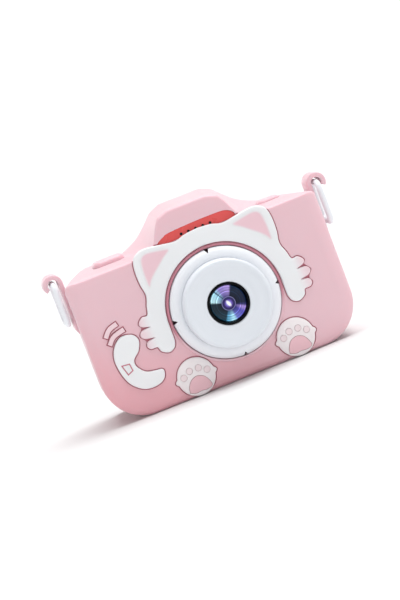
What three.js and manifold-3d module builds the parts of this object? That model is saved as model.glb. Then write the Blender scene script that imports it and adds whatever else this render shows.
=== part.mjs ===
// Kids digital camera in a soft silicone cat sleeve. Millimetres, +Z up, the lens looks along -Y,
// +X to the viewer's right. The origin is under the middle of the camera, on the flat base.
import * as THREE from 'three';
import { mergeVertices } from 'three/addons/utils/BufferGeometryUtils.js';
import Module from 'manifold-3d';

const wasm = await Module();
wasm.setup();

// ---- driving dimensions -------------------------------------------------------------------------
const HALF_WIDTH = 45; // sleeve, across the front
const TOP_Z = 50.5; // sleeve, top beside the hump at the front
const TOP_CLIMB = 1.2; // by how much that top is higher at the rear
const HUMP_Z = 62.2; // top of the hump at the front
const HUMP_CLIMB = 0.7; // by how much the hump is higher at the rear
const FRONT_Y = -14; // sleeve front face
const REAR_Y = 22.5; // sleeve rear rim
const WALL = 2; // silicone wall
const GAP = 0.3; // clearance between neighbours
const SHELL_WALL = 1.7; // hard shell wall
const SPLIT_Y = 4; // parting line of the two hard shells
const LENS_X = 3.5; // lens axis
const LENS_Z = 26.4;
const FLANGE_R = 18.8; // lens flange
const BARREL_R = 15;
const BARREL_FRONT_Y = -22.5;
const LIP_R = 19.9; // silicone lip round the flange
const CAT_R = 20.3; // inner edge of the kitten relief
const RELIEF_PROUD = 0.8;
const POCKET_DEPTH = 1;
const SHELL_INSET = WALL + GAP;
const SHELL_FRONT_Y = FRONT_Y + SHELL_INSET;
const SHELL_REAR_Y = REAR_Y - SHELL_INSET;
const SCREW_X = 36.2; // case screws, mirrored left and right
const SCREW_ROWS = { lower: 8.9, upper: 35.6 };
const SCREW_R = 1;
const BOARD_FRONT_Y = 9; // main board
const BOARD_REAR_Y = 10.6;
const KEY_X = -24.5; // middle of the direction keys
const KEY_Z = 20;
const SCREEN = { left: -12, right: 32, low: 9, high: 43 };
const EYE_X = 47.6; // strap eye, mirrored left and right
const EYE_Z = 52;
const EYE_R = 1.75;
const EYE_OUTER_R = 3.4;
const LUG_FRONT_Y = -7;
const LUG_REAR_Y = 3;
const RING_BAR_R = 1.05;
const RING_DROP = 14; // from the top bar to the bottom bar
const RING_HALF_SPAN = 6.55; // from the middle of the lug to a side bar

const camera = new THREE.Group();

// ---- helpers: solids, plates, turned pieces -----------------------------------------------------
function outward(geometry) {
  const bare = new THREE.BufferGeometry();
  bare.setAttribute('position', geometry.getAttribute('position'));
  bare.setIndex(geometry.getIndex());
  const merged = mergeVertices(bare, 1e-4);
  const place = merged.getAttribute('position');
  const index = merged.getIndex();
  const corners = [new THREE.Vector3(), new THREE.Vector3(), new THREE.Vector3()];
  const kept = [];
  let volume = 0;
  for (let i = 0; i < index.count; i += 3) {
    const triple = [index.getX(i), index.getX(i + 1), index.getX(i + 2)];
    if (new Set(triple).size < 3) continue;
    triple.forEach((vertex, k) => corners[k].fromBufferAttribute(place, vertex));
    volume += corners[0].dot(corners[1].clone().cross(corners[2]));
    kept.push(triple);
  }
  merged.setIndex((volume < 0 ? kept.map((t) => [t[0], t[2], t[1]]) : kept).flat());
  return merged;
}

function solid(geometry) {
  const closed = outward(geometry);
  return new wasm.Manifold(new wasm.Mesh({
    numProp: 3,
    vertProperties: new Float32Array(closed.getAttribute('position').array),
    triVerts: new Uint32Array(closed.getIndex().array),
  }));
}

function geometryOf(body) {
  const mesh = body.getMesh();
  const geometry = new THREE.BufferGeometry();
  geometry.setAttribute('position', new THREE.BufferAttribute(new Float32Array(mesh.vertProperties), 3));
  geometry.setIndex([...mesh.triVerts]);
  return geometry;
}

function cut(body, ...tools) {
  return tools.reduce((left, tool) => left.subtract(tool), body);
}

function join(body, ...others) {
  return others.reduce((left, other) => left.add(other), body);
}

function shapeOf(points) {
  return new THREE.Shape(points.map(([x, y]) => new THREE.Vector2(x, y)));
}

function curved(points, count) {
  return new THREE.SplineCurve(points.map(([x, y]) => new THREE.Vector2(x, y)))
    .getPoints(count).map((p) => [p.x, p.y]);
}

// A plate in the XZ plane between two Y planes.
function plate(shape, frontY, rearY) {
  const depth = rearY - frontY;
  const geometry = new THREE.ExtrudeGeometry(shape, { depth, bevelEnabled: false, curveSegments: 4 });
  return geometry.rotateX(Math.PI / 2).translate(0, rearY, 0);
}

function roundedRectangle(left, right, low, high, radius) {
  const shape = new THREE.Shape();
  shape.absarc(right - radius, low + radius, radius, -Math.PI / 2, 0);
  shape.absarc(right - radius, high - radius, radius, 0, Math.PI / 2);
  shape.absarc(left + radius, high - radius, radius, Math.PI / 2, Math.PI);
  shape.absarc(left + radius, low + radius, radius, Math.PI, Math.PI * 1.5);
  return shape;
}

function box(x0, x1, y0, y1, z0, z1) {
  return new THREE.BoxGeometry(x1 - x0, y1 - y0, z1 - z0)
    .translate((x0 + x1) / 2, (y0 + y1) / 2, (z0 + z1) / 2);
}

// A body turned about an axis along Y; the profile is a list of [radius, y].
function turned(profile, x, z, sides) {
  const points = [...profile, profile[0]].map(([r, y]) => new THREE.Vector2(r, y));
  return new THREE.LatheGeometry(points, sides).translate(x, 0, z);
}

function rod(x, z, radius, y0, y1, sides = 12) {
  return turned([[0, y0], [radius, y0], [radius, y1], [0, y1]], x, z, sides);
}

// The same turned body, standing along Z; the profile is a list of [radius, z].
function turnedUp(profile, x, y, sides) {
  const points = [...profile, profile[0]].map(([r, z]) => new THREE.Vector2(r, z));
  return new THREE.LatheGeometry(points, sides).rotateX(Math.PI / 2).translate(x, y, 0);
}

function tube(points, radius, steps, sides = 6) {
  const path = new THREE.CatmullRomCurve3(points.map((p) => new THREE.Vector3(...p)));
  const corners = Array.from({ length: sides }, (_, k) => {
    const turn = (k / sides) * Math.PI * 2;
    return [radius * Math.cos(turn), radius * Math.sin(turn)];
  });
  return new THREE.ExtrudeGeometry(shapeOf(corners), { steps, bevelEnabled: false, extrudePath: path });
}

const finishes = {
  silicone: { color: 0xe9bcc8, roughness: 0.6, metalness: 0 },
  palePink: { color: 0xf3ccd6, roughness: 0.6, metalness: 0 },
  white: { color: 0xf2f4f6, roughness: 0.55, metalness: 0 },
  hardWhite: { color: 0xeef1f5, roughness: 0.3, metalness: 0 },
  hardPink: { color: 0xf0b6c6, roughness: 0.35, metalness: 0 },
  red: { color: 0xd93a3e, roughness: 0.35, metalness: 0 },
  black: { color: 0x0d1014, roughness: 0.3, metalness: 0 },
  glass: { color: 0x2a2f55, roughness: 0.05, metalness: 0 },
  board: { color: 0x1f6b46, roughness: 0.5, metalness: 0 },
  metal: { color: 0xc2c5c8, roughness: 0.35, metalness: 1 },
  copper: { color: 0xb8763a, roughness: 0.5, metalness: 0 },
  redWire: { color: 0xb32020, roughness: 0.5, metalness: 0 },
};

function add(name, geometry, finish) {
  const mesh = new THREE.Mesh(outward(geometry), new THREE.MeshStandardMaterial(finishes[finish]));
  mesh.name = name;
  camera.add(mesh);
}

// ---- the camera's outer form --------------------------------------------------------------------
// How far an edge of the given radius has drawn in at a distance from the end face.
function drawnIn(distance, radius) {
  if (distance >= radius) return 0;
  return radius - Math.sqrt(radius * radius - (radius - distance) ** 2);
}

// One flank of the hump, from its foot to its top, as [distance from its middle, share of its height].
const HUMP_FRONT = [[17.5, 0], [15.9, 0.1], [14.4, 0.3], [12.6, 0.62], [11.6, 0.76], [10.3, 0.89], [6.5, 1]];
const HUMP_REAR = [[26, 0], [22.5, 0.12], [18.6, 0.3], [14.3, 0.62], [12.7, 0.76], [11.1, 0.87], [7.5, 1]];
const HUMP_X = { front: LENS_X - 0.6, rear: LENS_X + 1.8 };

// One cross-section of the body: square shoulders at the front that round off towards the rear,
// large lower corners, and the hump with its sides sweeping out at the foot.
function section(y, inset, frontY, rearY) {
  const back = (y - FRONT_Y) / (REAR_Y - FRONT_Y);
  const ahead = y - frontY;
  const behind = rearY - y;
  const tail = drawnIn(behind, 3 - inset / 2);
  const side = inset + drawnIn(2 * ahead, 5 - inset / 2) + tail;
  const top = inset + drawnIn(ahead, 0.8) + tail;
  const base = inset + drawnIn(ahead, 3 - inset / 2) + tail;
  const half = HALF_WIDTH - 1.5 * back * back - side;
  const high = TOP_Z + TOP_CLIMB * back - top;
  const crown = HUMP_Z + HUMP_CLIMB * back - inset - drawnIn(ahead, 1.2) - tail;
  const upperR = Math.max(1.2 + 10.8 * back - inset, 0.8);
  const lowerR = 14.5 - inset;
  const middle = HUMP_X.front + (HUMP_X.rear - HUMP_X.front) * back;
  const ring = [];
  const arc = (x, z, radius, start, steps) => {
    for (let k = 0; k <= steps; k += 1) {
      const turn = ((start + (90 * k) / steps) * Math.PI) / 180;
      ring.push([x + radius * Math.cos(turn), z + radius * Math.sin(turn)]);
    }
  };
  const flank = HUMP_FRONT.map(([reach, share], k) => {
    const away = reach + (HUMP_REAR[k][0] - reach) * back - 0.7 * inset;
    const rise = share + (HUMP_REAR[k][1] - share) * back;
    return [away, high + (crown - high) * rise];
  });
  arc(half - lowerR, base + lowerR, lowerR, -90, 5);
  arc(half - upperR, high - upperR, upperR, 0, 3);
  flank.forEach(([away, z]) => ring.push([Math.min(middle + away, half - upperR - 0.1), z]));
  [...flank].reverse().forEach(([away, z]) => ring.push([Math.max(middle - away, upperR - half + 0.1), z]));
  arc(upperR - half, high - upperR, upperR, 90, 3);
  arc(lowerR - half, base + lowerR, lowerR, 180, 5);
  return ring.map(([x, z]) => [x, y, z]);
}

function loft(rings) {
  const count = rings[0].length;
  const faces = [];
  for (let r = 0; r + 1 < rings.length; r += 1) {
    for (let k = 0; k < count; k += 1) {
      const a = r * count + k;
      const b = r * count + ((k + 1) % count);
      faces.push(a, a + count, b, b, a + count, b + count);
    }
  }
  const capOf = (ring) => {
    const flat = ring.map(([x, , z]) => new THREE.Vector2(x, z));
    return THREE.ShapeUtils.triangulateShape(flat, []);
  };
  const last = (rings.length - 1) * count;
  capOf(rings[0]).forEach(([a, b, c]) => faces.push(a, b, c));
  capOf(rings[rings.length - 1]).forEach(([a, b, c]) => faces.push(last + a, last + c, last + b));
  const geometry = new THREE.BufferGeometry();
  geometry.setAttribute('position', new THREE.Float32BufferAttribute(rings.flat(2), 3));
  geometry.setIndex(faces);
  return geometry;
}

// The whole form drawn in by an inset, between two Y planes of a body that runs from frontY to rearY.
function form(inset, frontY, rearY, from = frontY, to = rearY) {
  const edge = inset === 0 ? [0, 0.25, 0.8, 2.2, 5] : [0, 0.7, 3];
  const ys = [...edge.map((d) => frontY + d), SPLIT_Y, 12, rearY - 3, rearY - 0.9, rearY];
  const inside = ys.filter((y) => y > from + 0.05 && y < to - 0.05);
  return solid(loft([from, ...inside, to].map((y) => section(y, inset, frontY, rearY))));
}

// ---- reliefs on the sleeve's front --------------------------------------------------------------
// One side of the kitten, from the middle of its head to its paw, measured from the lens axis.
const catSide = [
  [0, 26.6], [4.5, 26.2], [8.5, 25.2], [13, 26], [18.5, 26.9], [21.6, 26.5], [23.8, 24.7], [24.7, 21.1],
  [24.6, 16.1], [24, 11.8], [25.3, 8.5], [26.3, 5.7], [28.6, 5.8], [30.3, 4], [29.5, 2.6], [26.8, 1.8],
  [30, 1.5], [31.2, 0], [30, -1.5], [26.6, -2.2], [29.6, -2.7], [30.3, -4.2], [29.2, -5.4], [26.8, -5.6],
  [25.8, -7.5], [23.4, -8.7], [21.2, -7.7], [20.3, -5.4],
];
const catArch = Array.from({ length: 19 }, (_, k) => {
  const turn = (k / 18) * Math.PI;
  return [CAT_R * Math.cos(turn), CAT_R * Math.sin(turn)];
});
function mirroredCat(side, count) {
  const outer = curved(side, count);
  return [...outer, ...catArch, ...outer.slice(1).reverse().map(([x, z]) => [-x, z])]
    .map(([x, z]) => [LENS_X + x, LENS_Z + z]);
}
const catOutline = mirroredCat(catSide, 46);
// The seat runs straight across the gaps between the fingers.
const catSeat = mirroredCat(catSide.filter(([x, z]) => !(x < 27 && (z === 1.8 || z === -2.2))), 34);

const tailOutline = curved([
  [-31, 28.3], [-28.1, 25.2], [-29.4, 22], [-31.7, 19.9], [-32.1, 18.1], [-31.3, 16.3], [-29.4, 14.5],
  [-26.5, 13.8], [-24.4, 13.5], [-23.8, 12.5], [-24.6, 10.4], [-26.7, 9.1], [-29.9, 8.8], [-33, 9.8],
  [-35.8, 12.4], [-37.4, 16], [-38.1, 20.3], [-37.8, 23.2], [-36.7, 25.7], [-34.8, 27.7], [-32.9, 28.5],
  [-31, 28.3],
], 36).slice(1);
const tailPatch = [[-36.5, 19.3], [-35.5, 15.8], [-33.6, 16.6], [-33.9, 19]];

// An even-width stroke with square ends along a curve.
function stroke(points, width) {
  const curve = new THREE.SplineCurve(points.map(([x, y]) => new THREE.Vector2(x, y)));
  const sides = [1, -1].map((sign) => Array.from({ length: 9 }, (_, k) => {
    const at = curve.getPoint(k / 8);
    const along = curve.getTangent(k / 8);
    return [at.x - (sign * along.y * width) / 2, at.y + (sign * along.x * width) / 2];
  }));
  return [...sides[0], ...sides[1].reverse()];
}
const MARK_WIDTH = 1.5;
const outerMark = stroke([[-38.1, 29.8], [-36.1, 32], [-33, 33]], MARK_WIDTH);
const innerMark = stroke([[-37.7, 27.1], [-35.4, 29.4], [-31.4, 30.4]], MARK_WIDTH);

function footOutline(x) {
  const points = [];
  for (let k = 0; k < 28; k += 1) {
    const turn = (k / 28) * Math.PI * 2;
    const nub = k % 14 === 0 ? 0.8 : 0;
    points.push([x + (6.5 + nub) * Math.cos(turn), 6.8 + 6.5 * Math.sin(turn)]);
  }
  return points;
}
function footPad(x) {
  const rim = [[x - 3.9, 2.4], [x - 3, 5.2], [x, 6.9], [x + 3, 5.2], [x + 3.9, 2.4], [x, 1.8]];
  return curved([...rim, rim[0]], 14).slice(1);
}
const FEET = { left: LENS_X - 18, right: LENS_X + 18 };

const reliefs = {
  cat_relief: [catOutline, 'white', catSeat],
  tail_relief: [tailOutline, 'white'],
  outer_motion_mark: [outerMark, 'palePink'],
  inner_motion_mark: [innerMark, 'palePink'],
  left_foot: [footOutline(FEET.left), 'white'],
  right_foot: [footOutline(FEET.right), 'white'],
};

// The recess that a thin plate sits in: its outline grown by a little more than the gap.
function recess(outline, frontY, rearY) {
  const turnWay = THREE.ShapeUtils.isClockWise(shapeOf(outline).getPoints()) ? -1 : 1;
  const spots = outline.map(([x, z]) => new THREE.Vector2(x, z));
  const outwards = spots.map((spot, k) => {
    const run = spots[(k + 1) % spots.length].clone().sub(spot).normalize();
    return new THREE.Vector2(run.y, -run.x).multiplyScalar(turnWay);
  });
  const grown = spots.map((spot, k) => {
    const last = outwards[(k + spots.length - 1) % spots.length];
    const middle = last.clone().add(outwards[k]).normalize();
    const reach = (GAP * 1.15) / Math.max(middle.dot(outwards[k]), 0.5);
    return spot.clone().addScaledVector(middle, reach).toArray();
  });
  return solid(plate(shapeOf(grown), frontY, rearY));
}

// Soft coloured patches let into the reliefs.
const inlayFrontY = FRONT_Y - RELIEF_PROUD - 0.2;
const inlayRearY = FRONT_Y - RELIEF_PROUD + 0.4;
const earPatch = (sign) => curved([
  [11.6, 50], [15.5, 50.8], [19.3, 51.2], [21.3, 50.1], [22, 47.4], [22.2, 43.9], [21.9, 40.4],
  [20.5, 42.2], [18.8, 43.9], [16.7, 45.6], [14, 47.8], [11.9, 49.2], [11.6, 50],
], 18).slice(1).map(([x, z]) => [LENS_X + sign * x, z]);
const inlays = {
  left_ear_patch: ['cat_relief', earPatch(-1)],
  right_ear_patch: ['cat_relief', earPatch(1)],
  tail_patch: ['tail_relief', tailPatch],
  left_foot_pad: ['left_foot', footPad(FEET.left)],
  right_foot_pad: ['right_foot', footPad(FEET.right)],
};

for (const [name, [outline, finish]] of Object.entries(reliefs)) {
  let body = solid(plate(shapeOf(outline), FRONT_Y - RELIEF_PROUD, FRONT_Y + POCKET_DEPTH - GAP));
  for (const [host, patch] of Object.values(inlays)) {
    if (host === name) body = cut(body, recess(patch, inlayFrontY - 1, inlayRearY + GAP));
  }
  add(name, geometryOf(body), finish);
}
for (const [name, [, outline]] of Object.entries(inlays)) {
  add(name, plate(shapeOf(outline), inlayFrontY, inlayRearY), 'palePink');
}

// ---- top keys: a silicone pad over a hard button over a switch ----------------------------------
const TOP_KEYS = {
  shutter: { x: -26.5, y: 5.5, padY: 8.5, halfX: 5.5, halfY: 5.5, top: 53.4, cap: 4.2, corner: 3 },
  power: { x: 32, y: 5.5, padY: 8, halfX: 4, halfY: 4, top: 52.2, cap: 2.8, corner: 2.5 },
};
const PAD_LOW = 50;
const CAP_TOP = 48.4;
const NUB_R = 1.7; // the raised middle of a cap, which carries the pad
const NUB_TOP = 49.7;

function padBlock(key, grow, low, high) {
  const shape = roundedRectangle(key.x - key.halfX - grow, key.x + key.halfX + grow,
    key.padY - key.halfY - grow, key.padY + key.halfY + grow, key.corner + grow);
  return new THREE.ExtrudeGeometry(shape, { depth: high - low, bevelEnabled: false, curveSegments: 3 })
    .translate(0, 0, low);
}

for (const [name, key] of Object.entries(TOP_KEYS)) {
  add(`${name}_pad`, padBlock(key, 0, PAD_LOW, key.top), 'silicone');
  const flange = key.cap + 0.8;
  add(`${name}_button`, turnedUp([
    [0, 43.2], [1.6, 43.2], [1.6, 44.9], [flange, 44.9], [flange, 45.9], [key.cap, 45.9],
    [key.cap, CAP_TOP], [NUB_R, CAP_TOP], [NUB_R, NUB_TOP], [0, NUB_TOP],
  ], key.x, key.y, 12), 'hardPink');
  const bodyTop = 41.6;
  add(`${name}_switch`, geometryOf(join(
    solid(box(key.x - 3, key.x + 3, key.y - 1.6, BOARD_FRONT_Y - GAP, 38.6, bodyTop)),
    solid(turnedUp([[0, bodyTop - 1], [1.5, bodyTop - 1], [1.5, 42.3], [0, 42.3]], key.x, key.y, 12)),
  )), 'black');
}

// ---- silicone sleeve ----------------------------------------------------------------------------
// A strap lug: a strip up the side that curls over into an eye.
function lug(sign) {
  const shape = new THREE.Shape();
  const stripOut = EYE_X - EYE_R;
  shape.moveTo(HALF_WIDTH - 1.6, 33.5);
  shape.lineTo(HALF_WIDTH + 0.2, 33.5);
  shape.lineTo(stripOut, 35.5);
  shape.lineTo(stripOut, EYE_Z);
  shape.absarc(EYE_X, EYE_Z, EYE_R, Math.PI, -Math.PI * 0.2, true);
  shape.absarc(EYE_X, EYE_Z, EYE_OUTER_R, -Math.PI * 0.2, Math.PI, false);
  shape.lineTo(EYE_X - EYE_OUTER_R, 47.5);
  shape.lineTo(HALF_WIDTH - 1.6, 46);
  const geometry = plate(shape, LUG_FRONT_Y, LUG_REAR_Y);
  return sign > 0 ? geometry : geometry.rotateZ(Math.PI).translate(0, LUG_FRONT_Y + LUG_REAR_Y, 0);
}

const windowShape = shapeOf(curved([
  [-15.4, 51.6], [-13.8, 53.1], [-11.8, 54.1], [-9.6, 54.8], [0, 55.3], [9, 55.1], [11.2, 54.4], [13.1, 52.9],
  [14.2, 51.6],
], 12).map(([x, z]) => [LENS_X + x, z]));

const PORT = { front: 4.6, rear: 11.2, low: 10, high: 33 };
function portOpening() {
  const shape = roundedRectangle(PORT.front, PORT.rear, PORT.low, PORT.high, 2.4);
  return solid(new THREE.ExtrudeGeometry(shape, { depth: 8, bevelEnabled: false, curveSegments: 3 })
    .applyMatrix4(new THREE.Matrix4().makeBasis(
      new THREE.Vector3(0, 1, 0), new THREE.Vector3(0, 0, 1), new THREE.Vector3(1, 0, 0),
    )).translate(42, 0, 0));
}

const lip = turned([
  [FLANGE_R + GAP, FRONT_Y - 0.5],
  [LIP_R, FRONT_Y - 0.5],
  [LIP_R, FRONT_Y + 0.6],
  [FLANGE_R + GAP, FRONT_Y + 0.6],
], LENS_X, LENS_Z, 44);
const seats = Object.values(reliefs).map(([outline, , seat]) => recess(
  seat || outline, FRONT_Y - 1, FRONT_Y + POCKET_DEPTH));
let sleeve = join(form(0, FRONT_Y, REAR_Y), solid(lip), solid(lug(1)), solid(lug(-1)));
sleeve = cut(sleeve,
  form(WALL, FRONT_Y + WALL, REAR_Y - WALL),
  solid(rod(LENS_X, LENS_Z, FLANGE_R + GAP, FRONT_Y - 1, FRONT_Y + 4, 44)),
  solid(plate(roundedRectangle(-38.6, 38.6, 4.8, 45.4, 8), REAR_Y - 4, REAR_Y + 1)),
  solid(plate(windowShape, FRONT_Y - 1, FRONT_Y + WALL + 0.5)),
  portOpening(),
  ...seats,
  ...Object.values(TOP_KEYS).map((key) => solid(padBlock(key, GAP, 44, 56))));
add('silicone_case', geometryOf(sleeve), 'silicone');

// ---- strap rings --------------------------------------------------------------------------------
for (const [name, sign] of [['left', -1], ['right', 1]]) {
  const x = sign * EYE_X;
  const middleY = (LUG_FRONT_Y + LUG_REAR_Y) / 2;
  const loop = [];
  const corner = 2.4;
  const spots = [
    [RING_HALF_SPAN - corner, EYE_Z - corner, 0],
    [corner - RING_HALF_SPAN, EYE_Z - corner, 90],
    [corner - RING_HALF_SPAN, EYE_Z - RING_DROP + corner, 180],
    [RING_HALF_SPAN - corner, EYE_Z - RING_DROP + corner, 270],
  ];
  for (const [y, z, start] of spots) {
    for (let k = 0; k <= 3; k += 1) {
      const turn = ((start + k * 30) * Math.PI) / 180;
      loop.push([middleY + y + corner * Math.cos(turn), z + corner * Math.sin(turn)]);
    }
  }
  const sides = 6;
  const points = [];
  const faces = [];
  loop.forEach(([y, z], at) => {
    const before = loop[(at + loop.length - 1) % loop.length];
    const after = loop[(at + 1) % loop.length];
    const along = new THREE.Vector2(after[0] - before[0], after[1] - before[1]).normalize();
    for (let k = 0; k < sides; k += 1) {
      const turn = ((k + 0.5) / sides) * Math.PI * 2;
      const out = RING_BAR_R * Math.cos(turn);
      points.push(x + RING_BAR_R * Math.sin(turn), y + along.y * out, z - along.x * out);
      const next = (k + 1) % sides;
      const other = ((at + 1) % loop.length) * sides;
      faces.push(at * sides + k, other + k, at * sides + next, at * sides + next, other + k, other + next);
    }
  });
  const ring = new THREE.BufferGeometry();
  ring.setAttribute('position', new THREE.Float32BufferAttribute(points, 3));
  ring.setIndex(faces);
  add(`${name}_strap_ring`, ring, 'hardWhite');
}

// ---- hard shells --------------------------------------------------------------------------------
const screwSpots = [];
for (const [sideName, x] of [['left', -SCREW_X], ['right', SCREW_X]]) {
  for (const [row, z] of Object.entries(SCREW_ROWS)) {
    screwSpots.push({ name: `${row}_${sideName}_screw`, x, z });
  }
}
const cavityInset = SHELL_INSET + SHELL_WALL;
const hollow = (from, to) => form(
  cavityInset, SHELL_FRONT_Y + SHELL_WALL, SHELL_REAR_Y - SHELL_WALL, from, to);
const BOSS_R = 2.9;
const bosses = (from, to) => screwSpots.map(({ x, z }) => solid(rod(x, z, BOSS_R, from, to)));
const GRILLE = { half: 15, low: 48.4, high: 58 };
// The block that the grille panel fills, kept inside the hump's shell.
function grilleBlank(shrink, from, to) {
  const outline = roundedRectangle(LENS_X - GRILLE.half + shrink, LENS_X + GRILLE.half - shrink,
    GRILLE.low + shrink, GRILLE.high - shrink, 3 - shrink);
  return solid(plate(outline, from, to))
    .intersect(form(SHELL_INSET + 0.5 + shrink, SHELL_FRONT_Y - 6, SHELL_REAR_Y));
}
const topHoles = Object.values(TOP_KEYS).map((key) => solid(
  turnedUp([[0, 40], [key.cap + 0.4, 40], [key.cap + 0.4, 52], [0, 52]], key.x, key.y, 12)));
const keySkirts = Object.values(TOP_KEYS).map((key) => solid(box(
  key.x - key.cap - 1.2, key.x + key.cap + 1.2, SPLIT_Y - 3.5, SPLIT_Y + 6.9, 43, 46.3)));

let frontShell = cut(form(SHELL_INSET, SHELL_FRONT_Y, SHELL_REAR_Y, SHELL_FRONT_Y, SPLIT_Y),
  hollow(SHELL_FRONT_Y + SHELL_WALL, SPLIT_Y + 1));
frontShell = join(frontShell, ...bosses(SHELL_FRONT_Y + 1, SPLIT_Y));
frontShell = cut(frontShell, ...topHoles, ...keySkirts,
  ...screwSpots.map(({ x, z }) => solid(rod(x, z, SCREW_R + GAP, -6, SPLIT_Y + 1))),
  solid(rod(LENS_X, LENS_Z, BARREL_R + GAP, -16, -6, 36)),
  grilleBlank(0, SHELL_FRONT_Y - 1, SHELL_FRONT_Y + SHELL_WALL + 0.1));
add('front_shell', geometryOf(frontShell), 'hardPink');

// Each key's [x, z, radius], from the middle of the direction keys.
const REAR_KEYS = {
  ok_key: [0, 0, 3.6],
  up_key: [0, 7.7, 2.5],
  down_key: [0, -7.7, 2.5],
  left_key: [7.7, 0, 2.5],
  right_key: [-7.7, 0, 2.5],
  menu_key: [-5, 18, 2.5],
  play_key: [5, 18, 2.5],
};
const COUNTERBORE_Y = 17.2;
let rearShell = cut(form(SHELL_INSET, SHELL_FRONT_Y, SHELL_REAR_Y, SPLIT_Y + GAP, SHELL_REAR_Y),
  hollow(SPLIT_Y - 1, SHELL_REAR_Y - SHELL_WALL));
rearShell = join(rearShell, ...bosses(SPLIT_Y + GAP, SHELL_REAR_Y - 1));
rearShell = cut(rearShell, ...topHoles, ...keySkirts,
  ...screwSpots.map(({ x, z }) => solid(rod(x, z, SCREW_R + GAP, SPLIT_Y - 1, 24))),
  ...screwSpots.map(({ x, z }) => solid(rod(x, z, 2.2, COUNTERBORE_Y, 24))),
  ...Object.values(REAR_KEYS).map(([x, z, r]) => solid(rod(KEY_X + x, KEY_Z + z, r + GAP, 16, 24, 12))),
  solid(plate(roundedRectangle(SCREEN.left, SCREEN.right, SCREEN.low, SCREEN.high, 2), 17, 24)),
  solid(box(38, 46, 5.9, 9, 11.9, 19.4)),
  solid(box(38, 46, 6.5, 8.5, 20, 31.8)));
add('rear_shell', geometryOf(rearShell), 'hardPink');

const SOUND_HOLES = { x: LENS_X - 0.4, z: 53.2, pitch: 2.6, radius: 0.5 };
const grille = cut(grilleBlank(GAP, SHELL_FRONT_Y, SHELL_FRONT_Y + 1.4),
  ...[-2, -1, 0, 1, 2].map((k) => solid(
    rod(SOUND_HOLES.x + k * SOUND_HOLES.pitch, SOUND_HOLES.z, SOUND_HOLES.radius, -14, -8, 6))));
add('grille_panel', geometryOf(grille), 'red');

for (const { name, x, z } of screwSpots) {
  add(name, turned([
    [0, -2], [SCREW_R, -2], [SCREW_R, COUNTERBORE_Y + GAP], [1.9, COUNTERBORE_Y + GAP],
    [1.9, COUNTERBORE_Y + 1.8], [0, COUNTERBORE_Y + 1.8],
  ], x, z, 12), 'metal');
}

// ---- lens ---------------------------------------------------------------------------------------
const NOTCH_R = 1.2;
const flange = cut(
  solid(turned([
    [BARREL_R + GAP, -17.2], [17.4, -17], [FLANGE_R, -15.6], [FLANGE_R, SHELL_FRONT_Y - GAP],
    [BARREL_R + GAP, SHELL_FRONT_Y - GAP],
  ], LENS_X, LENS_Z, 44)),
  ...[0, 1, 2, 3].map((k) => solid(new THREE.CylinderGeometry(NOTCH_R, NOTCH_R, 8, 3)
    .translate(FLANGE_R, -16, 0).rotateY((k * Math.PI) / 2).translate(LENS_X, 0, LENS_Z))));
add('lens_flange', geometryOf(flange), 'hardWhite');

const bezelR = 7.1;
const boreR = bezelR + GAP;
add('lens_barrel', turned([
  [boreR, -21.9], [13.9, -22.3], [14.5, BARREL_FRONT_Y], [BARREL_R, -21.9], [BARREL_R, -9],
  [13.2, -9], [13.2, -20], [9, -20], [9, -10], [boreR, -10],
], LENS_X, LENS_Z, 36), 'hardWhite');
add('lens_bezel', turned([[5.9, -21.6], [6.6, -22.1], [bezelR, -21.7], [bezelR, -19.6], [5.9, -19.6]],
  LENS_X, LENS_Z, 24), 'black');
add('lens_glass', turned([[0, -21.6], [3, -21.4], [5.6, -20.8], [5.6, -20], [0, -20]],
  LENS_X, LENS_Z, 24), 'glass');
add('lens_module', turned([[0, -19.2], [6.9, -19.2], [6.9, -9], [5.6, -9], [5.6, -4.9], [0, -4.9]],
  LENS_X, LENS_Z, 24), 'black');
add('sensor_board', box(LENS_X - 11, LENS_X + 11, -4.6, -3.6, LENS_Z - 11, LENS_Z + 11), 'board');

// ---- screen and keys on the back ----------------------------------------------------------------
add('screen_window', plate(roundedRectangle(SCREEN.left + GAP, SCREEN.right - GAP, SCREEN.low + GAP,
  SCREEN.high - GAP, 1.7), SHELL_REAR_Y - 1.3, SHELL_REAR_Y), 'black');
add('lcd_module', box(-12.6, 32.6, 13.2, 16, 8.2, 43.8), 'metal');
for (const [name, [x, z, r]] of Object.entries(REAR_KEYS)) {
  add(name, turned([
    [0, 16.9], [r + 0.6, 16.9], [r + 0.6, 17.9], [r, 17.9], [r, 21], [r - 0.6, 21.6], [0, 21.6],
  ], KEY_X + x, KEY_Z + z, 12), 'hardWhite');
}
const mat = cut(solid(plate(roundedRectangle(-35.6, -13.2, 8.4, 42.4, 2), 14.9, 15.9)),
  ...screwSpots.map(({ x, z }) => solid(rod(x, z, 3.3, 12, 18))));
add('key_mat', geometryOf(mat), 'silicone');

// ---- boards, battery, speaker, sockets ----------------------------------------------------------
const mainBoard = cut(solid(plate(roundedRectangle(-38.5, 38.5, 6.6, 43.6, 3), BOARD_FRONT_Y, BOARD_REAR_Y)),
  ...screwSpots.map(({ x, z }) => solid(rod(x, z, 3.4, 7, 12))));
add('main_board', geometryOf(mainBoard), 'board');
add('battery', plate(roundedRectangle(-33, -12.6, 9, 42.6, 2), -9.4, -3.4), 'metal');
add('speaker', geometryOf(join(
  solid(box(LENS_X - 6.5, LENS_X + 6.5, -9.4, -6.8, 45, 54.4)),
  solid(rod(LENS_X, 49.7, 3.6, -7, -5, 20)))), 'black');
add('microphone', rod(-6, 10.4, 2, 6.6, BOARD_FRONT_Y - GAP, 12), 'metal');
add('usb_socket', geometryOf(cut(solid(box(34.6, 41.6, 6.2, 8.7, 12.2, 19.1)),
  solid(box(36, 44, 6.7, 8.2, 12.8, 18.5)))), 'metal');
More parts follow.
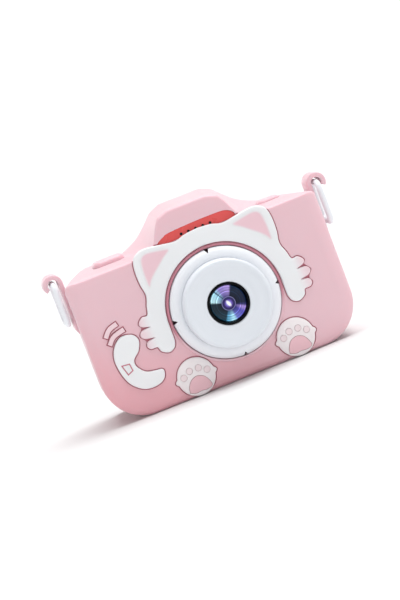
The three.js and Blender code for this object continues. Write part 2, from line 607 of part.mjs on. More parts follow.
add('card_socket', geometryOf(cut(solid(box(25.6, 39.4, 6.3, 8.7, 19.7, 32.1)),
  solid(box(26.2, 44, 6.8, 8.2, 20.1, 31.7)))), 'metal');
add('memory_card', box(26.8, 41.7, 7.1, 7.9, 20.4, 31.4), 'black');

// Flat flexes and round leads, each following its own bends.
function strip(points, thickness, x0, x1) {
  const curve = curved(points, 14);
  const rim = [1, -1].map((sign) => curve.map(([y, z], k) => {
    const before = curve[Math.max(k - 1, 0)];
    const after = curve[Math.min(k + 1, curve.length - 1)];
    const run = Math.hypot(after[0] - before[0], after[1] - before[1]);
    const step = (sign * thickness) / run / 2;
    return [y - (after[1] - before[1]) * step, z + (after[0] - before[0]) * step];
  }));
  const shape = shapeOf([...rim[0], ...rim[1].reverse()]);
  return new THREE.ExtrudeGeometry(shape, { depth: x1 - x0, bevelEnabled: false })
    .applyMatrix4(new THREE.Matrix4().makeBasis(
      new THREE.Vector3(0, 1, 0), new THREE.Vector3(0, 0, 1), new THREE.Vector3(1, 0, 0),
    )).translate(x0, 0, 0);
}
add('sensor_flex', strip([[-3.2, 26], [-1.6, 25.6], [0, 23.6], [2.6, 21.6], [5.6, 20.4], [8.6, 20]],
  0.4, 1, 7), 'copper');
add('lcd_flex', strip([[15, 7.6], [13.4, 6.9], [12, 7.3], [11.4, 9], [11.3, 13]], 0.3, 4, 16), 'copper');

const leads = {
  battery_lead_red: [
    [[-14.6, -2.9, 36], [-13, -1.4, 36.5], [-11.6, 2, 36], [-11, 5, 35], [-11, 8.5, 34.6]], 0.5, 'redWire'],
  battery_lead_black: [
    [[-16.6, -2.9, 33.6], [-15, -1.4, 33.2], [-13.8, 2, 32.8], [-13, 5, 32.4], [-13, 8.5, 32]], 0.5, 'black'],
  speaker_lead_red: [
    [[6, -4.6, 48.5], [6.6, -2.6, 47.2], [7.4, 1.4, 45], [8, 5, 42.6], [8, 8.5, 41]], 0.4, 'redWire'],
  speaker_lead_black: [
    [[2, -4.6, 48.5], [2.4, -2.6, 47.2], [3, 1.4, 45], [3.6, 5, 42.6], [3.6, 8.5, 41]], 0.4, 'black'],
};
for (const [name, [route, radius, finish]] of Object.entries(leads)) {
  add(name, tube(route, radius, 12), finish);
}

export default camera;
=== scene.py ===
from math import atan2, cos, hypot, pi, radians, sin, sqrt

import bpy
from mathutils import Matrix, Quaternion, Vector


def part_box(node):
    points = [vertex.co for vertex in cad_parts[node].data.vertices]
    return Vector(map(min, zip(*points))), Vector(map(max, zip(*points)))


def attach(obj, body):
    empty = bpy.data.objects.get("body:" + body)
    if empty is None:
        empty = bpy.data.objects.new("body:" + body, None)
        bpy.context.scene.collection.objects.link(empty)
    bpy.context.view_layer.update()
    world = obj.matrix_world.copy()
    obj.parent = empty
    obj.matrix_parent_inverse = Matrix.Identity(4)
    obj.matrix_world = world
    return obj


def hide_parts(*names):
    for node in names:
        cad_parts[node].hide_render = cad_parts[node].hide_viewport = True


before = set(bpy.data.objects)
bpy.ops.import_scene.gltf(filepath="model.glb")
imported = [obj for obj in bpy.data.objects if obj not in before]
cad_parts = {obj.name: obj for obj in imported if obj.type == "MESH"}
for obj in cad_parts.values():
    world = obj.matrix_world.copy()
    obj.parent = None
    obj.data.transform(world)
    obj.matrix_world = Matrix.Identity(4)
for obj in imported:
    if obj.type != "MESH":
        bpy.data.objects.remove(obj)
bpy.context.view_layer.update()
MM = 0.001


# ---- Camera and studio ------------------------------------------------------------------------------
# A long lens a little to the left of and above the product, rolled so that the product appears
# tipped. It stands on a pale round sweep under one broad overhead light and an even white sky.
def select_only(*pieces):
    if bpy.context.object and bpy.context.object.mode != "OBJECT":
        bpy.ops.object.mode_set(mode="OBJECT")
    bpy.ops.object.select_all(action="DESELECT")
    for piece in pieces:
        piece.select_set(True)
        bpy.context.view_layer.objects.active = piece


def settle(piece, name):
    select_only(piece)
    bpy.ops.object.transform_apply(location=True, rotation=True, scale=True)
    piece.name = name
    piece.data.name = name
    return piece


def shader(name, colour, roughness):
    material = bpy.data.materials.new(name)
    material.use_nodes = True
    surface = material.node_tree.nodes["Principled BSDF"]
    surface.inputs["Base Color"].default_value = (*colour, 1)
    surface.inputs["Roughness"].default_value = roughness
    return material, material.node_tree.nodes, material.node_tree.links, surface


def noise(nodes, links, scale, detail=3.0):
    place = nodes.new("ShaderNodeTexCoord")
    grain = nodes.new("ShaderNodeTexNoise")
    grain.inputs["Scale"].default_value = scale
    grain.inputs["Detail"].default_value = detail
    links.new(place.outputs["Object"], grain.inputs["Vector"])
    return grain.outputs["Fac"]


def blended(nodes, links, factor, low, high):
    mix = nodes.new("ShaderNodeMix")
    mix.data_type = "RGBA"
    links.new(factor, mix.inputs["Factor"])
    for name, source in (("A", low), ("B", high)):
        if isinstance(source, tuple):
            mix.inputs[name].default_value = (*source, 1)
        else:
            links.new(source, mix.inputs[name])
    return mix.outputs["Result"]


def mottled(nodes, links, surface, factor, low, high):
    links.new(blended(nodes, links, factor, low, high), surface.inputs["Base Color"])


AIM = Vector((-4.2, -14, 30.15)) * MM
VIEW_DISTANCE = 800 * MM
VIEW_AZIMUTH = radians(-6)
VIEW_ELEVATION = radians(6)
VIEW_ROLL = radians(-21)
towards = Vector((
    sin(VIEW_AZIMUTH) * cos(VIEW_ELEVATION),
    -cos(VIEW_AZIMUTH) * cos(VIEW_ELEVATION),
    sin(VIEW_ELEVATION),
))
select_only()
bpy.ops.object.camera_add(location=AIM + towards * VIEW_DISTANCE)
view = bpy.context.object
view.name = "view"
view.rotation_mode = "QUATERNION"
view.rotation_quaternion = (-towards).to_track_quat("-Z", "Y") @ Quaternion((0, 0, 1), VIEW_ROLL)
view.data.sensor_fit = "VERTICAL"
view.data.sensor_height = 36
view.data.lens = 144.3
view.data.clip_end = 50
bpy.context.scene.camera = view

select_only()
bpy.ops.mesh.primitive_circle_add(vertices=96, radius=1.5, fill_type="NGON")
floor = bpy.context.object
bpy.ops.object.mode_set(mode="EDIT")
bpy.ops.mesh.select_mode(type="EDGE")
bpy.ops.mesh.select_all(action="SELECT")
for rise, spread in ((0.05, 1.5), (0.15, 1.4), (0.35, 1.35), (0.6, 1.3), (1.0, 1.25)):
    bpy.ops.mesh.extrude_edges_move(TRANSFORM_OT_translate={"value": (0, 0, rise)})
    bpy.ops.transform.resize(value=(spread, spread, 1), center_override=(0, 0, 0))
bpy.ops.object.mode_set(mode="OBJECT")
settle(floor, "floor")
bpy.ops.object.shade_smooth()
material, nodes, links, surface = shader("pale_floor", (0.77, 0.77, 0.77), 0.85)
mottled(nodes, links, surface, noise(nodes, links, 40), (0.76, 0.76, 0.76), (0.78, 0.78, 0.78))
floor.data.materials.append(material)

select_only()
bpy.ops.object.light_add(type="SUN", location=(-0.4, -0.3, 1.5))
overhead = bpy.context.object
overhead.name = "overhead_light"
overhead.data.energy = 3.15
overhead.data.angle = radians(50)
overhead.rotation_euler = Vector((-0.22, -0.05, -1.0)).to_track_quat("-Z", "Y").to_euler()

world = bpy.data.worlds.new("studio")
world.use_nodes = True
world.node_tree.nodes["Background"].inputs["Color"].default_value = (1, 1, 1, 1)
world.node_tree.nodes["Background"].inputs["Strength"].default_value = 0.45
bpy.context.scene.world = world
bpy.context.scene.view_settings.view_transform = "Standard"


# ---- Electronics and other inner parts --------------------------------------------------------------
# Boards, cell, speaker, sockets, wires and plungers sit inside the hard shells. They are stock parts,
# screwed, soldered or snapped in, and each keeps its own maker's finish.
def grained(nodes, links, surface, factor, depth, strength=0.3):
    bump = nodes.new("ShaderNodeBump")
    bump.inputs["Strength"].default_value = strength
    bump.inputs["Distance"].default_value = depth
    links.new(factor, bump.inputs["Height"])
    links.new(bump.outputs["Normal"], surface.inputs["Normal"])


def ranged(nodes, links, value, from_low, from_high, to_low=0.0, to_high=1.0, smooth=False):
    spread = nodes.new("ShaderNodeMapRange")
    spread.interpolation_type = "SMOOTHSTEP" if smooth else "LINEAR"
    spread.inputs["From Min"].default_value = from_low
    spread.inputs["From Max"].default_value = from_high
    spread.inputs["To Min"].default_value = to_low
    spread.inputs["To Max"].default_value = to_high
    links.new(value, spread.inputs["Value"])
    return spread.outputs["Result"]


def varied(nodes, links, surface, factor, low, high):
    links.new(ranged(nodes, links, factor, 0, 1, low, high), surface.inputs["Roughness"])


def finish(name, low, high, roughness, metallic=0.0, scale=260, depth=0.00002):
    material, nodes, links, surface = shader(name, low, roughness)
    surface.inputs["Metallic"].default_value = metallic
    grain = noise(nodes, links, scale)
    mottled(nodes, links, surface, grain, low, high)
    varied(nodes, links, surface, grain, roughness * 0.85, min(roughness * 1.15, 1))
    grained(nodes, links, surface, noise(nodes, links, scale * 7), depth)
    return material


pink_plastic = finish("pink_plastic", (0.82, 0.46, 0.56), (0.86, 0.51, 0.61), 0.38, scale=120)
nickel = finish("nickel_plate", (0.5, 0.5, 0.51), (0.64, 0.64, 0.65), 0.3, 1.0)
black_plastic = finish("black_plastic", (0.012, 0.012, 0.014), (0.03, 0.03, 0.033), 0.45)
red_wire = finish("red_insulation", (0.42, 0.012, 0.012), (0.55, 0.02, 0.02), 0.45)
black_wire = finish("black_insulation", (0.01, 0.01, 0.01), (0.025, 0.025, 0.025), 0.45)
circuit_green = finish("circuit_green", (0.012, 0.12, 0.05), (0.02, 0.19, 0.09), 0.38)
amber_film = finish("amber_film", (0.38, 0.14, 0.02), (0.5, 0.2, 0.04), 0.35)
inner_finishes = (
    (circuit_green, ("main_board", "sensor_board")),
    (nickel, ("usb_socket", "card_socket", "microphone")),
    (finish("cell_foil", (0.5, 0.51, 0.52), (0.63, 0.63, 0.64), 0.4, 0.9, 90), ("battery",)),
    (finish("display_tray", (0.1, 0.1, 0.11), (0.16, 0.16, 0.17), 0.35, 0.6), ("lcd_module",)),
    (amber_film, ("sensor_flex", "lcd_flex")),
    (red_wire, ("battery_lead_red", "speaker_lead_red")),
    (black_wire, ("battery_lead_black", "speaker_lead_black")),
    (black_plastic, ("lens_module", "speaker", "shutter_switch", "power_switch")),
    (finish("grey_rubber", (0.5, 0.5, 0.51), (0.6, 0.6, 0.61), 0.6), ("key_mat",)),
    (pink_plastic, ("front_shell", "shutter_button", "power_button")),
)
for material, node_names in inner_finishes:
    for node_name in node_names:
        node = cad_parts[node_name]
        node.data.materials.clear()
        node.data.materials.append(material)


# ---- Rear shell -------------------------------------------------------------------------------------
# The back half of the hard body, moulded in pink ABS with bosses for four screws. Its moulded edges
# are broken by a small radius, and the whole back carries a fine spark-eroded grain.
def press(piece, kind, **settings):
    select_only(piece)
    modifier = piece.modifiers.new(kind.lower(), kind)
    for key, value in settings.items():
        setattr(modifier, key, value)
    bpy.ops.object.modifier_apply(modifier=modifier.name)


def tidy_mesh(piece):
    select_only(piece)
    bpy.ops.object.mode_set(mode="EDIT")
    bpy.ops.mesh.select_all(action="SELECT")
    bpy.ops.mesh.remove_doubles(threshold=0.000004)
    bpy.ops.mesh.normals_make_consistent(inside=False)
    bpy.ops.object.mode_set(mode="OBJECT")
    spots = [vertex.co for vertex in piece.data.vertices]
    room = 0
    for face in piece.data.polygons:
        first, *others = (spots[corner] for corner in face.vertices)
        room += sum(first.dot(one.cross(two)) for one, two in zip(others, others[1:]))
    if room < 0:
        bpy.ops.object.mode_set(mode="EDIT")
        bpy.ops.mesh.select_all(action="SELECT")
        bpy.ops.mesh.flip_normals()
        bpy.ops.object.mode_set(mode="OBJECT")


def smooth_faces(piece, angle=35):
    select_only(piece)
    bpy.ops.object.shade_smooth_by_angle(angle=radians(angle))


def soften(piece, width, segments=3, angle=35):
    press(piece, "BEVEL", width=width, segments=segments, limit_method="ANGLE",
          angle_limit=radians(angle), miter_outer="MITER_ARC")
    smooth_faces(piece, angle)
    return piece


def coated(piece, *finishes):
    piece.data.materials.clear()
    for each in finishes:
        piece.data.materials.append(each)
    return piece


def fit_on(piece, body, slot, *node_names):
    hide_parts(*node_names)
    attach(piece, body)
    return piece


def copy_of(node_name, piece_name):
    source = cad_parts[node_name]
    piece = bpy.data.objects.new(piece_name, source.data.copy())
    bpy.context.scene.collection.objects.link(piece)
    tidy_mesh(piece)
    bpy.ops.object.mode_set(mode="EDIT")
    bpy.ops.mesh.select_all(action="SELECT")
    bpy.ops.mesh.dissolve_limited(angle_limit=radians(2))
    bpy.ops.object.mode_set(mode="OBJECT")
    return piece


rear_shell = coated(soften(copy_of("rear_shell", "rear_shell_moulding"), 0.25 * MM, 2), pink_plastic)
fit_on(rear_shell, "camera", "plastic_pink", "rear_shell")


# ---- Case screws ------------------------------------------------------------------------------------
# Four self-tapping steel screws, zinc plated, with a pan head and a cross recess. They go through the
# rear shell into bosses of the front shell and hold the two halves together.
def turned(name, profile, x, z, sides=96, closed=False):
    radius, depth = profile[0]
    select_only()
    bpy.ops.mesh.primitive_circle_add(vertices=sides, radius=radius, rotation=(pi / 2, 0, 0),
                                      location=(x, depth, z))
    piece = settle(bpy.context.object, name)
    bpy.ops.object.mode_set(mode="EDIT")
    bpy.ops.mesh.select_mode(type="EDGE")
    bpy.ops.mesh.select_all(action="SELECT")
    if not closed:
        bpy.ops.mesh.edge_face_add()
    for next_radius, next_depth in profile[1:]:
        move = {"value": (0, next_depth - depth, 0)}
        if closed:
            bpy.ops.mesh.extrude_edges_move(TRANSFORM_OT_translate=move)
        else:
            bpy.ops.mesh.extrude_region_move(TRANSFORM_OT_translate=move)
        scale = next_radius / radius
        bpy.ops.transform.resize(value=(scale, 1, scale), center_override=(x, next_depth, z))
        radius, depth = next_radius, next_depth
    bpy.ops.object.mode_set(mode="OBJECT")
    if closed:
        last = len(piece.data.vertices) - sides
        for edge in piece.data.edges:
            edge.select = all(v < sides or v >= last for v in edge.vertices)
        bpy.ops.object.mode_set(mode="EDIT")
        bpy.ops.mesh.bridge_edge_loops()
        bpy.ops.object.mode_set(mode="OBJECT")
    tidy_mesh(piece)
    return piece


def carve(piece, *tools, operation="DIFFERENCE"):
    for tool in tools:
        press(piece, "BOOLEAN", operation=operation, object=tool, solver="MANIFOLD",
              material_mode="TRANSFER")
        bpy.data.objects.remove(tool)
    return piece


def block(x0, x1, y0, y1, z0, z1, name="block"):
    select_only()
    bpy.ops.mesh.primitive_cube_add(size=1, location=((x0 + x1) / 2, (y0 + y1) / 2, (z0 + z1) / 2),
                                    scale=(x1 - x0, y1 - y0, z1 - z0))
    return settle(bpy.context.object, name)


zinc = finish("zinc_plate", (0.55, 0.56, 0.57), (0.7, 0.7, 0.7), 0.28, 1.0, 400)
SCREW_TIP_Y = -2 * MM
SCREW_SEAT_Y = 17.5 * MM
SCREW_HEAD_Y = 19 * MM
for node_name in ("upper_left_screw", "upper_right_screw", "lower_left_screw", "lower_right_screw"):
    low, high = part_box(node_name)
    x, z = (low[0] + high[0]) / 2, (low[2] + high[2]) / 2
    screw = coated(turned(node_name + "_pan_head", [
        (0.35 * MM, SCREW_TIP_Y), (1 * MM, SCREW_TIP_Y + 1.2 * MM), (1 * MM, SCREW_SEAT_Y),
        (1.9 * MM, SCREW_SEAT_Y), (1.9 * MM, SCREW_HEAD_Y - 0.7 * MM),
        (1.5 * MM, SCREW_HEAD_Y - 0.2 * MM), (0.8 * MM, SCREW_HEAD_Y),
    ], x, z, 32), zinc)
    arm, slit = 1.15 * MM, 0.24 * MM
    recess_y = (SCREW_HEAD_Y - 0.8 * MM, SCREW_HEAD_Y + 1 * MM)
    carve(screw,
          coated(block(x - arm, x + arm, *recess_y, z - slit, z + slit), zinc),
          coated(block(x - slit, x + slit, *recess_y, z - arm, z + arm), zinc))
    smooth_faces(screw, 30)
    fit_on(screw, "camera", "steel", node_name)


# ---- Lens -------------------------------------------------------------------------------------------
# A white moulded flange with four dark notches holds a fixed white barrel. A glossy black ring in its
# middle frames the front element, coloured with painted reflections: violet, cyan and dark green wedges.
LENS_X = 3.5 * MM
LENS_Z = 26.4 * MM
FLANGE_R = 18.8 * MM


def millimetres(points):
    return [(a * MM, b * MM) for a, b in points]


def skin(name, rings):
    count = len(rings[0])
    select_only()
    bpy.ops.mesh.primitive_circle_add(vertices=count, fill_type="NGON")
    piece = settle(bpy.context.object, name)
    order = {}
    for k, vertex in enumerate(piece.data.vertices):
        vertex.co = rings[0][k]
        order[tuple(vertex.co)] = k
    for ring in rings[1:]:
        bpy.ops.object.mode_set(mode="EDIT")
        bpy.ops.mesh.extrude_region_move(TRANSFORM_OT_translate={"value": (0, 0, 0)})
        bpy.ops.object.mode_set(mode="OBJECT")
        placed = {}
        for vertex in piece.data.vertices[-count:]:
            k = order[tuple(vertex.co)]
            vertex.co = ring[k]
            placed[tuple(vertex.co)] = k
        order = placed
    tidy_mesh(piece)
    return piece


def prism(name, outline, front, rear):
    return skin(name, [[Vector((x, depth, z)) for x, z in outline] for depth in (front, rear)])


def plate(outline, front, rear, material, name="plate"):
    return coated(prism(name, outline, front, rear), material)


white_plastic = finish("white_plastic", (0.83, 0.855, 0.9), (0.86, 0.88, 0.915), 0.3,
                       scale=160, depth=0.000008)
notch_plum = finish("notch_plum", (0.05, 0.015, 0.03), (0.09, 0.03, 0.05), 0.5)
flange = coated(turned("lens_flange_ring", millimetres([
    (15.04, -12), (15.04, -17.05), (15.4, -17.22), (16.6, -17.2), (17.3, -17.05), (17.9, -16.75),
    (18.4, -16.25), (18.7, -15.6), (18.8, -14.9), (18.8, -12),
]), LENS_X, LENS_Z, 128, closed=True), white_plastic)
NOTCH = millimetres([(17.5, 0), (19.4, 1.1), (19.4, -1.1)])
for quarter in range(4):
    turn = quarter * pi / 2
    outline = [(LENS_X + out * cos(turn) - side * sin(turn), LENS_Z + out * sin(turn) + side * cos(turn))
               for out, side in NOTCH]
    carve(flange, plate(outline, -18 * MM, -13 * MM, notch_plum))
smooth_faces(flange, 40)
fit_on(flange, "camera", "plastic_white", "lens_flange")

barrel_white = finish("barrel_white", (0.74, 0.78, 0.835), (0.765, 0.8, 0.85), 0.3,
                      scale=160, depth=0.000008)
barrel = coated(turned("lens_barrel_moulding", millimetres([
    (13.2, -9), (15, -9), (15, -21.3), (14.9, -21.8), (14.65, -22.2), (14.3, -22.42), (13.9, -22.48),
    (13.5, -22.4), (13.1, -22.2), (12.7, -22.1), (12.5, -22.0), (11, -21.95), (9.4, -21.85),
    (9.2, -21.78), (8.2, -21.74), (7.9, -21.85), (7.4, -21.85), (7.22, -21.7), (7.2, -10), (9, -10),
    (9, -20), (13.2, -20),
]), LENS_X, LENS_Z, 160, closed=True), barrel_white)
smooth_faces(barrel, 40)
fit_on(barrel, "camera", "plastic_white", "lens_barrel")

gloss_black = finish("gloss_black", (0.0012, 0.0014, 0.002), (0.002, 0.0024, 0.0034), 0.2, depth=0.000002)
gloss_black.node_tree.nodes["Principled BSDF"].inputs["Specular IOR Level"].default_value = 0.1
bezel = coated(turned("lens_bezel_ring", millimetres([
    (6.2, -19.6), (6.2, -21.45), (6.3, -21.8), (6.5, -22.05), (6.8, -22.05), (7.05, -21.85),
    (7.1, -21.5), (7.1, -19.6),
]), LENS_X, LENS_Z, 96, closed=True), gloss_black)
smooth_faces(bezel, 40)
fit_on(bezel, "camera", "plastic_black", "lens_bezel")


def maths(nodes, links, operation, *values):
    node = nodes.new("ShaderNodeMath")
    node.operation = operation
    for socket, value in zip(node.inputs, values):
        if isinstance(value, (int, float)):
            socket.default_value = value
        else:
            links.new(value, socket)
    return node.outputs["Value"]


def colour_bands(nodes, links, factor, stops):
    ramp = nodes.new("ShaderNodeValToRGB")
    ramp.color_ramp.interpolation = "EASE"
    while len(ramp.color_ramp.elements) < len(stops):
        ramp.color_ramp.elements.new(1)
    for element, (place, colour) in zip(ramp.color_ramp.elements, stops):
        element.position = place
        element.color = (*colour, 1)
    links.new(factor, ramp.inputs["Fac"])
    return ramp.outputs["Color"]


def across_and_up(nodes, links, x, z):
    place = nodes.new("ShaderNodeTexCoord")
    centre = nodes.new("ShaderNodeMapping")
    centre.inputs["Location"].default_value = (-x, 0, -z)
    links.new(place.outputs["Object"], centre.inputs["Vector"])
    split = nodes.new("ShaderNodeSeparateXYZ")
    links.new(centre.outputs["Vector"], split.inputs["Vector"])
    return split.outputs["X"], split.outputs["Z"]


def distance_from_middle(nodes, links, one, two, full):
    squares = [maths(nodes, links, "MULTIPLY", value, value) for value in (one, two)]
    return maths(nodes, links, "DIVIDE", maths(nodes, links, "SQRT", maths(
        nodes, links, "ADD", *squares)), full)


GLASS_R = 6.15 * MM
glass = turned("front_element", [
    (GLASS_R, -20 * MM), (GLASS_R, -20.75 * MM), (5.4 * MM, -21.05 * MM), (4.2 * MM, -21.3 * MM),
    (3 * MM, -21.48 * MM), (1.8 * MM, -21.57 * MM), (0.7 * MM, -21.6 * MM),
], LENS_X, LENS_Z, 96)
# Painted reflections and highlights: coloured wedges, bright rings and a bright middle spot are drawn
# into the glass colour.
painted_reflection_glass, nodes, links, surface = shader("painted_reflection_glass", (0.02, 0.03, 0.06), 0.06)
across, up = across_and_up(nodes, links, LENS_X, LENS_Z)
turn = maths(nodes, links, "MULTIPLY_ADD", maths(nodes, links, "ARCTAN2", up, across), 0.5 / pi, 0.5)
away = distance_from_middle(nodes, links, across, up, GLASS_R)
teal, navy, violet, lavender, cyan = (
    (0.006, 0.022, 0.038), (0.005, 0.012, 0.04), (0.1, 0.09, 0.48), (0.42, 0.31, 0.72), (0.4, 0.74, 0.9))
painted_reflection_wedges = colour_bands(nodes, links, turn, [
    (0.0, teal), (0.165, (0.008, 0.035, 0.06)), (0.19, (0.1, 0.36, 0.56)), (0.25, cyan),
    (0.29, (0.14, 0.16, 0.55)), (0.36, violet), (0.41, (0.36, 0.26, 0.66)), (0.435, (0.03, 0.03, 0.14)),
    (0.46, navy), (0.67, (0.008, 0.02, 0.05)), (0.695, lavender), (0.79, (0.3, 0.24, 0.62)),
    (0.825, (0.3, 0.5, 0.68)), (0.838, (0.03, 0.08, 0.14)), (0.85, cyan), (0.93, (0.5, 0.8, 0.88)),
    (0.955, teal),
])
inner = colour_bands(nodes, links, away, [
    (0.0, (0.5, 0.5, 0.95)), (0.1, (0.3, 0.28, 0.8)), (0.19, (0.12, 0.07, 0.4)),
    (0.25, (0.03, 0.02, 0.13)), (0.33, (0.02, 0.015, 0.1)), (0.37, (0.22, 0.22, 0.45)),
    (0.4, (0.01, 0.01, 0.04)),
])
# Painted highlight rings: stops above one brighten thin circles on the glass.
rings = colour_bands(nodes, links, away, [
    (0.0, (0.2, 0.2, 0.3)), (0.4, (0.3, 0.3, 0.4)), (0.55, (0.6, 0.6, 0.7)), (0.63, (0.85, 0.85, 0.9)),
    (0.66, (2, 2, 2)), (0.69, (0.7, 0.7, 0.75)), (0.8, (1.3, 1.3, 1.3)), (0.88, (1.15, 1.15, 1.15)),
    (0.93, (2.6, 2.6, 2.6)), (0.965, (1.2, 1.2, 1.2)), (0.99, (0.05, 0.05, 0.05)),
])
# The painted highlight in the middle is an oval that leans to one side.
lengthwise = maths(nodes, links, "SUBTRACT", maths(nodes, links, "MULTIPLY", across, 0.2),
                   maths(nodes, links, "MULTIPLY", up, 0.45))
crosswise = maths(nodes, links, "ADD", maths(nodes, links, "MULTIPLY", across, 0.91),
                  maths(nodes, links, "MULTIPLY", up, 0.41))
spot = distance_from_middle(nodes, links, lengthwise, crosswise, GLASS_R)
inner = blended(nodes, links, ranged(nodes, links, spot, 0.12, 0.05, smooth=True), inner, (1.0, 1.0, 1.0))
tinted = nodes.new("ShaderNodeMix")
tinted.data_type = "RGBA"
tinted.blend_type = "MULTIPLY"
tinted.inputs["Factor"].default_value = 1
links.new(painted_reflection_wedges, tinted.inputs["A"])
links.new(rings, tinted.inputs["B"])
core = ranged(nodes, links, away, 0.36, 0.42, smooth=True)
links.new(blended(nodes, links, core, inner, tinted.outputs["Result"]), surface.inputs["Base Color"])
surface.inputs["Specular IOR Level"].default_value = 0.15
surface.inputs["Coat Weight"].default_value = 0.1
surface.inputs["Coat Roughness"].default_value = 0.03
coated(glass, painted_reflection_glass)
smooth_faces(glass, 60)
fit_on(glass, "camera", "lens_glass", "lens_glass")


# ---- Kitten relief ----------------------------------------------------------------------------------
# A kitten that hugs the lens: a separate off-white silicone piece with soft rolled edges, glued into a
# seat in the sleeve. Its fingers take a faint pink tint towards their tips.
FRONT_Y = -14 * MM
RELIEF_Y = FRONT_Y - 0.8 * MM
SEAT_Y = FRONT_Y + 0.3 * MM
CAT_R = 20.3


def arc(x, z, radius, start, end, steps):
    return [(x + radius * cos(radians(start + (end - start) * k / steps)),
             z + radius * sin(radians(start + (end - start) * k / steps))) for k in range(steps + 1)]


def curved(points, count):
    last = len(points) - 1
    spots = []
    for k in range(count + 1):
        place = last * k / count
        at = min(int(place), last - 1)
        t = place - at
        p0, p1, p2, p3 = (points[min(max(at + d, 0), last)] for d in (-1, 0, 1, 2))
        spots.append(tuple(
            b + 0.5 * t * (c - a + t * (2 * a - 5 * b + 4 * c - d + t * (3 * (b - c) + d - a)))
            for a, b, c, d in zip(p0, p1, p2, p3)))
    return spots


def grown(outline, reach):
    around = sum(a[0] * b[1] - b[0] * a[1] for a, b in zip(outline, outline[1:] + outline[:1]))
    way = reach if around > 0 else -reach
    result = []
    for before, here, after in zip(outline[-1:] + outline[:-1], outline, outline[1:] + outline[:1]):
        one = Vector((here[1] - before[1], before[0] - here[0])).normalized()
        two = Vector((after[1] - here[1], here[0] - after[0])).normalized()
        middle = (one + two).normalized()
        shift = middle * (way / max(middle.dot(one), 0.6))
        result.append((here[0] + shift.x, here[1] + shift.y))
    return result


def on_front(across, up, depth):
    return Vector((across, depth, up))


def raised(name, outline, rear, front, edge, place=on_front):
    way = 1 if rear > front else -1
    rings = [[place(a, b, rear) for a, b in outline]]
    for turn in (0, 25, 50, 70, 90):
        inset, drop = edge * (1 - cos(radians(turn))), edge * (1 - sin(radians(turn)))
        rings.append([place(a, b, front + way * drop) for a, b in grown(outline, -inset)])
    rings.append([place(a, b, front) for a, b in grown(outline, -edge - 0.1 * MM)])
    return skin(name, rings)


cat_side = [
    (0, 26.5), (4.5, 26.1), (8.5, 25.1), (13, 25.7), (18.5, 26.5), (21.5, 26.1), (23.7, 24.4), (24.6, 21),
    (24.6, 16.1), (24, 11.8), (25.1, 8.3), (26, 5.5), (28.1, 5.4), (29.7, 3.7), (29, 2.4), (26.6, 1.6),
    (29.5, 1.3), (30.6, -0.2), (29.5, -1.6), (26.4, -2.3), (29, -2.8), (29.7, -4.3), (28.7, -5.5),
    (26.6, -5.7), (25.8, -7.5), (23.4, -8.7), (21.2, -7.7), (20.3, -5.4),
]
between_fingers = ((26.6, 1.6), (26.4, -2.3))


def mirrored_cat(side, count):
    outer = curved(side, count)
    around = outer + arc(0, 0, CAT_R, 0, 180, 60)[1:] + [(-x, z) for x, z in reversed(outer[1:-1])]
    return [(LENS_X + x * MM, LENS_Z + z * MM) for x, z in around]


cat_outline = mirrored_cat(cat_side, 170)
cat_seat = mirrored_cat([point for point in cat_side if point not in between_fingers], 120)


FINGER_TINT = (25.2 * MM, 30 * MM)


def white_silicone(name, tinted):
    material, nodes, links, surface = shader(name, (0.84, 0.85, 0.87), 0.55)
    colour = blended(nodes, links, noise(nodes, links, 60), (0.835, 0.85, 0.868), (0.86, 0.868, 0.885))
    if tinted:
        across, _ = across_and_up(nodes, links, LENS_X, LENS_Z)
        reach = ranged(nodes, links, maths(nodes, links, "ABSOLUTE", across),
                       *FINGER_TINT, smooth=True)
        colour = blended(nodes, links, reach, colour, (0.835, 0.65, 0.695))
    links.new(colour, surface.inputs["Base Color"])
    varied(nodes, links, surface, noise(nodes, links, 160), 0.48, 0.6)
    grained(nodes, links, surface, noise(nodes, links, 2400, 2), 0.00002, 0.2)
    surface.inputs["Subsurface Weight"].default_value = 0.1
    surface.inputs["Subsurface Radius"].default_value = (0.002, 0.0014, 0.0014)
    surface.inputs["Subsurface Scale"].default_value = 1
    return material


relief_white = white_silicone("relief_white", True)


def airbrushed(name, edge_colour, middle_colour, roughness):
    material, nodes, links, surface = shader(name, middle_colour, roughness)
    fade = nodes.new("ShaderNodeAttribute")
    fade.attribute_name = "paint"
    lighter = tuple(part * 1.04 for part in middle_colour)
    base = blended(nodes, links, noise(nodes, links, 60), middle_colour, lighter)
    mottled(nodes, links, surface, fade.outputs["Fac"], edge_colour, base)
    varied(nodes, links, surface, noise(nodes, links, 160), roughness * 0.9, roughness * 1.1)
    grained(nodes, links, surface, noise(nodes, links, 2400, 2), 0.00002, 0.2)
    return material


def inside_by(outline, x, z):
    nearest = 1
    for (ax, az), (bx, bz) in zip(outline, outline[1:] + outline[:1]):
        run_x, run_z = bx - ax, bz - az
        t = min(max(((x - ax) * run_x + (z - az) * run_z) / (run_x ** 2 + run_z ** 2 + 1e-18), 0), 1)
        nearest = min(nearest, hypot(x - ax - t * run_x, z - az - t * run_z))
    return nearest


def painted_patch(name, outline, front, rear, fade_width, material, cuts=34):
    spare = 0.2 * MM
    low_x, high_x = min(x for x, z in outline) - spare, max(x for x, z in outline) + spare
    low_z, high_z = min(z for x, z in outline) - spare, max(z for x, z in outline) + spare
    patch = coated(block(low_x, high_x, front, rear, low_z, high_z, name), material)
    bpy.ops.object.mode_set(mode="EDIT")
    bpy.ops.mesh.select_all(action="SELECT")
    bpy.ops.mesh.subdivide(number_cuts=cuts)
    bpy.ops.object.mode_set(mode="OBJECT")
    carve(patch, plate(outline, front - 1 * MM, rear + 1 * MM, material), operation="INTERSECT")
    paint = patch.data.attributes.new("paint", "FLOAT", "POINT")
    for vertex, spot in zip(patch.data.vertices, paint.data):
        near = min(inside_by(outline, vertex.co.x, vertex.co.z) / fade_width, 1)
        spot.value = near * near * (3 - 2 * near)
    smooth_faces(patch, 30)
    return patch


